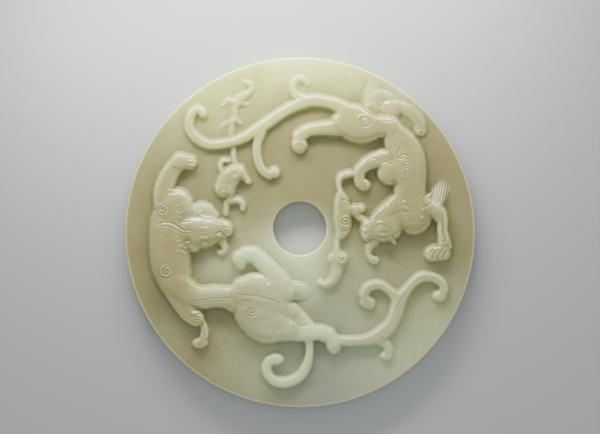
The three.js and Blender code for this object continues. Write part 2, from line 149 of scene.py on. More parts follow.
class Relief:
    """A height field over the carved face, in millimetres above the slab."""

    def __init__(self, cell):
        reach = DISC_RADIUS / MM
        steps = int(round(reach / cell))
        line = np.arange(-steps, steps + 1) * cell
        self.cell = cell
        self.low = line[0]
        self.x, self.y = np.meshgrid(line, line)
        self.height = np.zeros_like(self.x)

    def window(self, places, reach):
        """The slice of the field within reach of some places."""
        low = np.floor((places.min(axis=0) - reach - self.low) / self.cell).astype(int)
        high = np.ceil((places.max(axis=0) + reach - self.low) / self.cell).astype(int) + 1
        low = np.maximum(low, 0)
        return slice(low[1], high[1]), slice(low[0], high[0])

    def swept(self, path, tops, profile):
        """The highest of the profiles set along a path of points (x, y, radius)."""
        part = self.window(path[:, :2], path[:, 2].max())
        form = np.zeros_like(self.x[part])
        first_row, first_column = part[0].start, part[1].start
        for (px, py, radius), top in zip(path, tops):
            rows, columns = self.window(np.array([[px, py]]), radius)
            off = (self.x[rows, columns] - px) ** 2 + (self.y[rows, columns] - py) ** 2
            local = form[rows.start - first_row:rows.stop - first_row,
                         columns.start - first_column:columns.stop - first_column]
            np.maximum(local, top * profile(np.minimum(off / radius ** 2, 1)), out=local)
        return part, form

    def raise_form(self, part, form, blend):
        """Joins a form to what is carved already, with a small fillet where they meet."""
        ground = self.height[part]
        mix = np.clip(0.5 + 0.5 * (form - ground) / blend, 0, 1)
        joined = ground * (1 - mix) + form * mix + blend * mix * (1 - mix)
        both = (ground > 0) & (form > 0)
        self.height[part] = np.where(both, joined, np.maximum(ground, form))

    def limb(self, stations, crest, section=BODY, blend=0.9):
        """A form swept along stations (x, y, half width), with crest heights along it."""
        path = smooth_path(stations, PATH_STEP)
        tops = np.interp(along(path), np.linspace(0, 1, len(crest)), crest)
        part, form = self.swept(path, tops, lambda near: arch(near, section))
        self.raise_form(part, form, blend)

    def dome(self, x, y, radius_x, radius_y, crest, turn=0, section=BODY, blend=0.9):
        """A rounded boss, stretched over two radii and turned about its middle."""
        part = self.window(np.array([[x, y]]), max(radius_x, radius_y))
        form = crest * arch(self.nearness(part, x, y, radius_x, radius_y, turn), section)
        self.raise_form(part, form, blend)

    def nearness(self, part, x, y, radius_x, radius_y, turn):
        """0 in the middle of an ellipse, rising to 1 at its edge and staying there outside."""
        c, s = math.cos(math.radians(turn)), math.sin(math.radians(turn))
        dx, dy = self.x[part] - x, self.y[part] - y
        return np.minimum(((dx * c + dy * s) / radius_x) ** 2 + ((dy * c - dx * s) / radius_y) ** 2, 1)

    def swell(self, x, y, radius_x, radius_y, change, turn=0):
        """Raises a soft bump on the surface, or hollows it where change is negative."""
        part = self.window(np.array([[x, y]]), max(radius_x, radius_y))
        near = self.nearness(part, x, y, radius_x, radius_y, turn)
        self.height[part] += change * (1 - near) ** 1.5

    def stroke(self, points, width, change):
        """Follows a line with a narrow tool: a groove, or a bead where change is positive."""
        path = smooth_path(points, self.cell * 0.6)
        share = along(path)
        length = share.max() * np.hypot(*np.diff(path[:, :2], axis=0).T).sum()
        ends = np.minimum(share, 1 - share) * length
        strength = np.clip(STROKE_END + ends / STROKE_TAPER, STROKE_END, 1)
        path = np.column_stack([path[:, :2], np.full(len(path), width / 2)])
        part, form = self.swept(path, strength, lambda near: 1 - near)
        self.height[part] += change * form

    def cut(self, width, depth, *lines):
        """Grooves of one width and depth, one along each line of points."""
        for points in lines:
            self.stroke(points, width, -depth)

    def bead(self, width, height, *lines):
        """Raised beads of one width and height, one along each line of points."""
        for points in lines:
            self.stroke(points, width, height)

    def hair(self, first, last, count, width, depth):
        """Locks of hair: grooves laid evenly from a first line to a last one."""
        first, last = np.array(first, float), np.array(last, float)
        for share in np.linspace(0, 1, count):
            self.cut(width, depth, first + (last - first) * share)

    def spiral(self, x, y, radius, start, turns, width, depth):
        """A curl on the skin: a ridge and a groove beside it, winding in from the outer end."""
        share = np.linspace(0, 1, int(12 * abs(turns)) + 3)
        turn = math.radians(start) + 2 * math.pi * turns * share
        reach = radius * (1 - share * (1 - CURL_HEART))
        across = np.column_stack([np.cos(turn), np.sin(turn)])
        self.bead(width, depth, (x, y) + across * (reach + CURL_RIDGE * width)[:, None])
        self.cut(width, depth, (x, y) + across * reach[:, None])

    def bosses(self, *places):
        """Small round bosses (x, y, radius, rise) standing on whatever surface is there."""
        for x, y, radius, rise in places:
            self.swell(x, y, radius, radius, rise)

    def pits(self, *places):
        """Small drilled pits (x, y, radius)."""
        for x, y, radius in places:
            self.swell(x, y, radius, radius, -PIT_DEPTH)


def arch(near, section):
    """Height over the cross section of a form, from 1 at its middle to 0 at its edge."""
    square, steepness = section
    return (1 - near ** (square / 2)) ** steepness


def arc(x, y, radius, start, end):
    """Points on an arc, from a start to an end angle in degrees, anticlockwise from +X."""
    turn = np.radians(np.linspace(start, end, max(4, int(abs(end - start) / 22) + 1)))
    return np.column_stack([x + radius * np.cos(turn), y + radius * np.sin(turn)])


def smooth_path(stations, step):
    """Points of a Catmull-Rom curve through the stations, about a step apart."""
    points = np.array(stations, float)
    ends = np.vstack([2 * points[0] - points[1], points, 2 * points[-1] - points[-2]])
    path = []
    for k in range(len(points) - 1):
        a, b, c, d = ends[k:k + 4]
        count = max(2, int(math.dist(b[:2], c[:2]) / step))
        t = (np.arange(count) / count)[:, None]
        curve = 2 * b + (c - a) * t + (2 * a - 5 * b + 4 * c - d) * t ** 2
        path.append(0.5 * (curve + (3 * b - a - 3 * c + d) * t ** 3))
    path.append(points[-1:])
    return np.vstack(path)


def along(path):
    """How far along the path each of its points is, from 0 to 1."""
    steps = np.hypot(*np.diff(path[:, :2], axis=0).T)
    length = np.concatenate([[0], np.cumsum(steps)])
    return length / length[-1]


def carve_upper_dragon(relief):
    # Tail and its two side branches
    relief.limb([(21, 50.5, 4.4), (15.5, 54.3, 3), (10, 55.8, 2.7), (4, 56, 2.8), (-5, 52.5, 2.5),
        (-16, 45.2, 2.7), (-26, 39.4, 2.2), (-36, 37.2, 2.1), (-41, 38, 2.2), (-45.3, 41, 2.3),
        (-47.4, 45, 2.2), (-46.6, 49.8, 2.1), (-44, 52.4, 2), (-41.8, 51.4, 1.9)],
        (3.2, 2.8, 2.6, 2.4, 2.2), BAND)
    relief.dome(-41.5, 50.4, 2.1, 2.1, 2.2)
    relief.limb([(1.5, 56.8, 2.4), (-1.8, 58.8, 2), (-3, 62, 1.7), (-1.6, 65, 1.6), (1.3, 65.4, 1.5),
        (3.3, 63.6, 1.4)], (2.4, 1.6, 1), BAND)
    relief.limb([(-16.8, 43, 2.6), (-18.2, 38, 2.1), (-18.4, 33.5, 2), (-17.6, 29.5, 2), (-15.7, 26, 2),
        (-13, 24.4, 2.1)], (2.5, 2.2, 2.4), BAND)
    relief.dome(-10.9, 25.4, 2.6, 2.6, 2.6)
    # Rump, hind legs and the hair that flies off the rump
    relief.limb([(18.5, 47, 5.4), (24, 45.8, 7.9), (28.5, 45.2, 7.1), (32.5, 45.2, 5.4), (37, 45, 5.2)],
        (4.2, 4.5, 4.4))
    relief.limb([(19, 51, 3.8), (25, 50.6, 3.8), (31, 46.5, 3.6)], (3.6, 3.6))
    relief.limb([(18, 44.5, 4), (12, 44.3, 3.4), (7.2, 44, 3), (3.2, 43.2, 3), (-0.1, 40.8, 3.3)],
        (3.6, 3.3))
    relief.dome(-0.2, 37.4, 3.6, 4.2, 3.5)
    relief.limb([(30.6, 53, 4), (30.6, 57.6, 4.2), (31.6, 62, 3.6)], (2.5, 1.1, 0.4), SOFT, 1.6)
    relief.dome(36, 56, 7, 4.6, 1, -20, SOFT, 2)
    relief.dome(37, 50.6, 6, 5, 1.9, -25, SOFT, 2)
    relief.limb([(38.5, 53, 3.2), (43.5, 53, 3), (47.8, 50.8, 3), (51, 47.2, 2.9), (51.6, 43.6, 3)],
        (1.3, 0.9, 1.4), SOFT, 2)
    # Trunk, shoulder and the foreleg that reaches left
    relief.limb([(38.5, 46, 4.2), (40.6, 41.4, 5.6), (43.6, 36.5, 7.4), (45.8, 31, 8.1), (46.6, 25, 7.8),
        (46.8, 19, 7.2), (47, 13, 7.2), (48, 8, 6.8)], (4.1, 4.4, 4.9, 4.9, 4.4))
    relief.dome(39, 25.6, 6.5, 6, 4.7, -20, BODY, 2)
    relief.limb([(35.5, 31.2, 4.5), (31.3, 30.2, 3.6), (27.7, 28.3, 3), (25.4, 25.6, 2.9),
        (25.3, 22.6, 2.7)], (4, 3.6, 3.4), BODY, 1.6)
    relief.dome(26.8, 20.5, 3.7, 2.9, 3.4, -20)
    # Chest, near foreleg and paw, and the hair at the elbow
    relief.limb([(57.6, 10.8, 3.4), (58.8, 14.6, 4), (60.4, 18.2, 3.6)], (3, 2.2, 0.8), SOFT, 1.6)
    relief.dome(49.2, 6.4, 8.2, 7.4, 4.5, 50, BODY, 1.6)
    relief.limb([(48, 12, 6), (54.5, 10.5, 4.8), (58.6, 8.4, 3.9), (60.8, 5, 2.9), (60.9, 1, 2.6),
        (61.5, -2.5, 2.9), (61.8, -6, 3.4)], (4.2, 3.6, 3.4))
    relief.limb([(61.1, -8.7, 3.7), (56.5, -9.2, 3.6)], (3.5, 3.4))
    # Neck, mane and head
    relief.limb([(47, 10, 7.5), (42, 7.5, 7.5), (38, 4.5, 6.8)], (4.3, 4.4), BODY, 1.6)
    relief.limb([(44, 14.4, 4.4), (40, 12.2, 3.1), (35.4, 8.4, 2.9), (32, 5.2, 2.4)], (3.9, 3.5), BODY, 1.2)
    relief.limb([(37.8, 2, 6.3), (34, 1.2, 5.8), (31, 0.9, 5.2)], (4.8, 4.3), BODY, 1.2)
    relief.dome(28.5, 0.9, 2.8, 5.3, 3.8, 0, BAND, 1.2)
    relief.limb([(38.2, -1, 2.4), (39.7, -3.4, 1.5), (40.6, -4.8, 0.7)], (3.9, 2.6), SLIM)
    relief.limb([(31.6, -3.6, 2.7), (29.9, -6, 2.2), (29.2, -9, 1.5), (30.4, -11.4, 1.9)], (3.2, 2.4, 2.2),
        SLIM)
    relief.dome(31.8, -11.9, 2.1, 1.9, 2.4)


def carve_lower_dragon(relief):
    # Raised foreleg, shoulder and trunk
    relief.limb([(-58.2, 13, 4.8), (-58.2, 17.5, 4.7), (-57, 22, 4.3), (-54.9, 26, 4), (-52.3, 29, 3.9)],
        (3.7, 3.3))
    relief.limb([(-51.4, 30.2, 3.9), (-47, 29.7, 3.3)], (3.7, 3.3), BODY, 1.2)
    relief.dome(-52.8, 10.8, 7.7, 8.3, 4.6, 0, BODY, 1.6)
    relief.limb([(-56.5, 10, 6.4), (-55.5, 4, 9), (-55.6, -2, 9.5), (-55.5, -8, 9.5), (-55.2, -14, 9),
        (-53.8, -20, 7.8)], (4.2, 4.9, 4.9, 4.4), SOFT, 1.6)
    relief.limb([(-54, -21, 6.6), (-52.3, -26.5, 5.1), (-50, -31, 4.4), (-47.4, -34.6, 4.1),
        (-44.4, -36.7, 3.9)], (4.2, 3.7))
    relief.limb([(-41.6, -38.6, 1.7), (-40.8, -41.6, 1.9), (-40.9, -44.4, 2.1)], (2.2, 2.4), BAND)
    relief.dome(-42.6, -47.2, 3.8, 2.7, 2.4, 12)
    # Waist, rump and hind legs
    relief.limb([(-52, -22.5, 6.2), (-47, -26.6, 5.5), (-42, -28.1, 5.1), (-36.5, -27.5, 4.9),
        (-31.5, -28, 5), (-27.5, -28.6, 6.2), (-23, -30, 7)], (4.4, 4.1, 4.3), BODY, 1.6)
    relief.limb([(-23.4, -25.4, 6.6), (-19, -25.1, 8.1), (-14, -25.6, 7.5), (-9, -25.8, 6.3),
        (-6.5, -26, 4.8)], (4.5, 4.3, 3.7), BODY, 2)
    relief.limb([(-8.5, -22, 4.8), (-12.2, -17, 4), (-16.1, -12.9, 3.7), (-19.8, -9.9, 3.6),
        (-23.2, -9.7, 3.6)], (3.8, 3.3), BODY, 1.2)
    relief.dome(-25.8, -11.8, 3.3, 4.1, 3.3, 12)
    relief.limb([(-22.4, -34.6, 6.2), (-19.6, -37.2, 7), (-15, -39.6, 7.9), (-9.5, -40.2, 6.7),
        (-5, -41.4, 5.2)], (4.5, 4.5), BODY, 1.6)
    relief.limb([(-17, -32, 7), (-10, -32.5, 6), (-4.6, -33.8, 4.2)], (4.3, 3.3), BODY, 1.2)
    relief.limb([(-5, -41.8, 4.7), (0.5, -43.4, 3.5), (5, -43, 3.6), (9, -42.9, 3.4), (12.2, -44, 3.5)],
        (3.8, 3.4))
    relief.dome(14.4, -47.5, 3.6, 4.9, 3.3, 6)
    relief.limb([(-5, -25, 4), (-1, -25.2, 4.2), (1.4, -25.6, 3.4)], (2.4, 1.3, 0.8), SLIM)
    # Tail, which forks again and again and ends in curls
    relief.limb([(-4, -33.5, 3.8), (0.2, -37.2, 3.4), (5, -41.5, 2.9), (12, -45.4, 2.3), (18.5, -46.6, 2.3),
        (25, -46.5, 2.2), (30, -45.8, 2.6), (34.6, -43.7, 3.4), (38.2, -40.3, 3), (40.5, -36.2, 3),
        (41.9, -31.5, 3.2), (43.4, -27.8, 2.9), (45.8, -24.6, 2.2), (48.4, -21.6, 2.2), (51.6, -19.4, 2.4),
        (54.8, -19, 2.3), (58, -19.8, 2.2), (60.7, -21.8, 2.1), (61.6, -24.6, 2.1)], (2.6, 2.4, 2.6, 2.4),
        BAND)
    relief.dome(59.7, -27.2, 3.3, 2.7, 2.4, 12)
    relief.limb([(41.8, -29.5, 2.8), (40, -26.6, 2.3), (37.7, -24.6, 2), (35, -22.9, 2.1),
        (31.9, -22.7, 2.1), (29, -23.9, 2.3), (27.4, -26.6, 2.4)], (2.5, 2.2, 2.4), BAND)
    relief.dome(28.8, -30, 3.9, 3.1, 2.4, -28)
    relief.limb([(33.6, -45.6, 2.7), (36.6, -47.8, 2.2), (38, -50.4, 2)], (2.2, 1.8), BAND)
    relief.dome(36.9, -52.7, 3, 2.3, 1.9, 12)
    relief.limb([(3.2, -44, 2.3), (4, -48, 1.9), (4, -52, 1.8), (3.1, -56.4, 2.2), (0.9, -60.4, 2.4),
        (-2.4, -63.1, 2.4), (-6.6, -64.4, 2.3), (-10.8, -63.6, 2.3), (-13.6, -61, 2.3), (-14.3, -57.6, 2.3),
        (-13, -55, 2.3)], (2.4, 2.2, 2.4), BAND)
    relief.dome(-10.4, -54.2, 3.9, 2.7, 2.4)
    # Neck, head, the tuft behind the brow, and the beard
    relief.limb([(-47.5, 3, 4.8), (-45.4, -1, 4.8), (-45.6, -5, 4)], (4.3, 4.1), SOFT, 2)
    relief.limb([(-47.5, 0.8, 6), (-43, 0.4, 7), (-40, 0.4, 6.4)], (4.2, 4.2), SOFT, 2)
    relief.limb([(-41.8, 0, 7.3), (-38.2, 0.4, 6.2), (-34.4, 0.9, 4.9), (-32.3, 1.2, 3.9)], (4.4, 4.1, 3.3),
        BODY, 2)
    relief.limb([(-45.4, 8.4, 3.4), (-41.6, 8.8, 4.6), (-37.4, 7, 3)], (3, 3, 2.4), SOFT, 2)
    relief.limb([(-33.4, -3.6, 2.4), (-32.2, -6.8, 1.7), (-33.2, -8.9, 1.6), (-34.6, -8.4, 1.2)],
        (2.4, 1.9, 1.6), SLIM)


def carve_hole_dragon(relief):
    relief.limb([(22.6, 24.8, 1.8), (19.8, 24.6, 1.9), (17.2, 23, 1.9), (16.6, 20, 1.5), (17.3, 17, 1.5)],
        (2.6, 2.4), SLIM)
    relief.limb([(17.4, 16, 2), (17.9, 13, 3.4), (18, 9.5, 3.9), (18.2, 5, 4), (18.3, 1.5, 3.4),
        (17.3, -1.2, 2.1)], (2.8, 3.3, 2.9))
    relief.limb([(20.6, 9.3, 2.8), (24, 9.2, 2.6), (26.2, 10.2, 2)], (2.7, 2.5), BODY, 1.2)
    relief.limb([(23.6, 7.8, 1.9), (27.6, 4.6, 2)], (2.3, 2.4), SLIM)
    relief.dome(17.3, -11.2, 3.4, 3.1, 2.7)
    relief.dome(13.8, -11.4, 1.9, 2.2, 1.7)
    relief.limb([(16.4, -2, 1.6), (15.8, -5, 1.3), (15.9, -8, 1.8), (16.5, -11.2, 3.3), (16, -15, 2.8),
        (15.4, -18.4, 2.5), (13.4, -21.3, 2.1), (10.8, -22.6, 1.6), (8.6, -21.6, 1.4)],
        (2.2, 2.2, 2.3, 1.7), SLIM)


def carve_climbing_dragon(relief):
    relief.limb([(-28.4, 38, 1.5), (-28.4, 33, 1.3), (-28, 29.5, 1.6)], (1.4, 1.4), SLIM)
    relief.limb([(-27.6, 25.5, 4), (-30.4, 22.5, 4.8), (-32.2, 19, 4.6)], (3.3, 3))
    relief.limb([(-26, 26, 3.1), (-23.7, 23.5, 2.2), (-22.1, 21.7, 1.7)], (2.8, 2.2), SLIM)
    relief.limb([(-33.6, 25.8, 1.2), (-34.1, 28.6, 1.2), (-33, 30.6, 1.1), (-30.8, 30.5, 1)], (1.6, 1.7),
        SLIM)
    relief.dome(-32, 18.4, 4.7, 3.9, 3.2, -12)
    relief.limb([(-30, 16, 2.2), (-30, 13.5, 1.8), (-28.5, 13.4, 1.7), (-26.3, 13.4, 1.8), (-24.6, 12, 1.7),
        (-24.5, 10, 1.4)], (2.3, 2, 1.8), SLIM)
    relief.limb([(-31.1, 13, 1.7), (-31.6, 8, 1.4)], (1.7, 1.3), SLIM)
    relief.limb([(-29.4, 40.5, 1.4), (-29.2, 45, 1.4), (-27.9, 49.5, 1.7), (-27.6, 53, 1.8),
        (-26, 56.4, 2.1), (-22.9, 58.6, 1.8), (-20.8, 60.8, 1.3), (-21.2, 63.2, 1.2), (-23.6, 64.2, 1)],
        (1, 1.2, 0.8), SLIM)
    relief.limb([(-29, 47.6, 1.4), (-27.2, 48.3, 1.3), (-25.8, 46.6, 1.1)], (1.4, 1.2), SLIM)
    relief.limb([(-29.5, 46.4, 1.3), (-32, 46, 1.3), (-33.8, 45, 1.1)], (0.6, 0.4), SLIM)
    relief.limb([(-26.4, 55, 1.5), (-24, 54.8, 1.2), (-22.4, 54.6, 1)], (0.9, 0.6), SLIM)
    relief.limb([(-28.4, 55.4, 1.5), (-30.8, 56.2, 1.2), (-32.8, 54.3, 1)], (0.7, 0.5), SLIM)


def dress_upper_dragon(relief):
    # Rump: the big curl, a crease, and fine hair at the tail's root
    relief.bead(0.8, 0.3, [(24.2, 48.2), (25.4, 49.5), (27.5, 50), (29.6, 49.7), (31.4, 48.4), (31.9, 47)])
    relief.cut(0.7, 0.34, [(25.7, 46.8), (26.4, 48.4), (28.2, 48.8), (29.8, 47.8), (29.6, 46), (28.2, 45),
        (26.7, 45.3), (26.5, 46.6), (27.5, 47.3)], [(18.6, 45.2), (19.7, 44.8), (21, 43.5)])
    relief.hair([(15.8, 50.2), (16.6, 46.4)], [(22.4, 51.6), (23.4, 45.6)], 7, 0.6, 0.13)
    # Far haunch and paw, and the hair above the rump
    relief.cut(0.65, 0.34, [(33, 52.4), (34, 53.8), (35.6, 54.1)], [(34, 51.9), (35, 53), (36.3, 52.6)],
        [(35.2, 50.1), (36.6, 50.8), (38.2, 50.3), (38.9, 49)], [(35.2, 48.4), (36.4, 47.5), (38.6, 47.2),
        (40, 48), (40.9, 49.2)], [(49, 45.2), (50.2, 45.4), (51, 44.2)])
    relief.pits((37.1, 52, 0.6), (50.2, 44.1, 0.6), (51.9, 42.4, 0.6))
    relief.hair([(27.2, 54.6), (27, 58.5), (28.4, 64.4)], [(33.6, 55.4), (34.2, 59.2), (34.6, 62.4)], 7,
        0.75, 0.34)
    # Near hind paw, hanging down
    relief.hair([(-1.9, 36.8), (-2.3, 34.1)], [(1.9, 36.6), (2.3, 34)], 4, 0.6, 0.28)
    relief.bead(1, 0.25, [(-3, 37.4), (-1.2, 38.3), (1, 38.1), (2.8, 37)])
    relief.cut(0.6, 0.2, [(3.4, 45), (1.6, 44.2), (0.8, 43)])
    # Waist hair, running together towards the flank
    relief.hair([(36.2, 43), (36.6, 39.4), (38, 36.2)], [(41.6, 43.4), (41.2, 38.8), (40.9, 33.2)], 6, 0.5,
        0.24)
    relief.cut(0.5, 0.26, [(43.4, 38.2), (42, 35.6), (40.9, 33)], [(42.6, 36), (41.4, 34), (40.9, 32)])
    # Trunk: a curl under an arc, and small bosses down the flank
    relief.spiral(44.9, 28.8, 2.1, 100, 1.7, 0.6, 0.38)
    relief.cut(0.65, 0.36, [(42.8, 32.5), (44.8, 33.2), (46.9, 32)], [(41, 32.3), (42.3, 31.2),
        (43.8, 31.6), (45.4, 31.4)], [(34.4, 28.9), (35.8, 29.9), (37.6, 29.8), (39.5, 28.4)],
        [(28.6, 30.2), (30.4, 31.3), (32.6, 31.3), (33.7, 30)])
    relief.bosses((43.4, 25.9, 0.9, 0.3), (43.6, 23.6, 0.9, 0.4), (42.4, 21.8, 0.8, 0.3),
        (45.8, 25.1, 0.8, 0.25), (45.7, 23.7, 0.8, 0.25))
    # Foreleg that reaches left, and its paw
    relief.cut(0.6, 0.26, [(27, 23.2), (28.3, 22.7), (29.8, 21.3)], [(26.4, 18.4), (25.4, 20)],
        [(28.2, 18.4), (27.4, 20)])
    relief.bosses((28.1, 22.1, 0.9, 0.3))
    # Mane along the nape, and hair on the neck and chest
    relief.hair([(31.2, 7.2), (32.8, 5.6)], [(41, 18.2), (42.8, 15.6)], 15, 0.55, 0.24)
    relief.bosses((35, 11, 0.9, 0.4), (35.4, 10, 0.8, 0.3), (37, 11.4, 0.9, 0.4), (37.2, 10.4, 0.8, 0.3))
    relief.hair([(37.4, 6.6), (41.2, 9), (45.2, 9.4)], [(41, 1.6), (45, 3.8), (49.4, 4.8)], 8, 0.6, 0.26)
    relief.hair([(42.6, 15.6), (45, 17.8), (47.8, 19.4)], [(47, 13), (49.4, 15.2), (52, 16.8)], 6, 0.7, 0.2)
    relief.cut(0.65, 0.38, [(42.8, 12.3), (43.7, 14), (45.1, 14), (45.6, 12.7)], [(43, 11.4), (44.6, 11.9),
        (46.8, 11)], [(43.7, 9.8), (44.8, 8.9), (46.6, 8.5), (48.3, 9.3), (48.9, 10.6)], [(52.6, 11),
        (54.4, 11.5), (55.7, 12.6)])
    relief.bosses((44.3, 12.9, 0.8, 0.35), (45.3, 10.7, 0.9, 0.3), (52.2, 9.5, 0.9, 0.45),
        (51.8, 6.3, 0.9, 0.5))
    # Elbow hair and the foreleg that comes down to the near paw
    relief.limb([(52.8, 14.1, 1), (54.2, 15.1, 1.1), (55.5, 16, 0.8)], (3.4, 2.4), SLIM)
    relief.hair([(55.8, 11.6), (56.4, 14.8), (58, 21.6)], [(60.4, 10.4), (62, 14), (63.4, 20.6)], 6, 0.75,
        0.55)
    relief.bead(1.1, 0.3, [(61.8, 8), (62, 4), (62.2, 0.2), (62.9, -2.4), (62.5, -4.2), (61.4, -5),
        (60.2, -4.6)], [(54.2, -6.7), (57.2, -6.5)], [(54.2, -6.9), (57.2, -6.7)], [(57.9, -6.7),
        (60.1, -6.8)])
    relief.cut(0.9, 0.2, [(60.4, 6), (60.7, 2), (61.2, -2.4)])
    relief.hair([(57, -6.9), (54.9, -9), (53.9, -11.6)], [(62.8, -7.2), (61.3, -9.8), (60.9, -12.4)], 4,
        0.8, 0.28)
    relief.bosses((54.5, -11, 0.9, 0.25))
    relief.cut(0.7, 0.22, [(63.2, -5.8), (64, -8.4), (63, -11)])
    # Head: brow, eye, blunt snout, ear and beard
    relief.swell(33.6, 0.6, 3.2, 2.6, 0.3)
    relief.bead(1.1, 0.42, [(26, 0.9), (28.2, 0.9)], [(26.5, -2.2), (28.4, -2.2)], [(27, 3.7), (28.4, 3.5)],
        [(34.2, -1), (36.2, -1.1)], [(33, 4), (34.4, 4.4), (36, 4.1)])
    relief.bead(0.8, 0.28, [(28.9, 4.6), (29.9, 4.4)], [(28.9, 2.8), (29.9, 2.6)], [(28.9, 1.3),
        (30.1, 1.2)], [(28.6, -0.9), (29.6, -0.9)], [(35.6, 1.7), (36.8, 1.4), (37.9, 0.9)], [(39.5, 2.2),
        (41, 2)], [(39.8, 1), (41, 0.9)], [(29.6, 5.8), (31.2, 6.7), (32.8, 8.4), (34, 10.2)])
    relief.cut(0.55, 0.32, [(26.2, 2.4), (28.8, 2.4)], [(26.2, -0.6), (28.6, -0.6)], [(33.4, -0.1),
        (35.2, 0.4), (37, -0.2)], [(33.6, -1.8), (35.2, -2.2), (36.8, -1.8)], [(27.4, -3.3), (30, -3),
        (33, -3.6)], [(38.8, -0.8), (39.8, -2.6), (40.4, -4.2)], [(32.6, 3), (34.6, 3.3), (36.6, 2.8)])
    relief.spiral(31.8, -11.9, 1.4, 70, -1.1, 0.6, 0.42)
    # Tail: the forks and the curled ends
    relief.cut(0.6, 0.25, [(2.4, 54.8), (0.4, 56.4), (-0.6, 58.6)], [(-15.6, 44.4), (-17.4, 42.6),
        (-18.6, 41)], [(-12.6, 26.6), (-11, 27), (-9.6, 26)])
    relief.pits((1.3, 62.2, 0.7), (18.8, 60.4, 0.5))


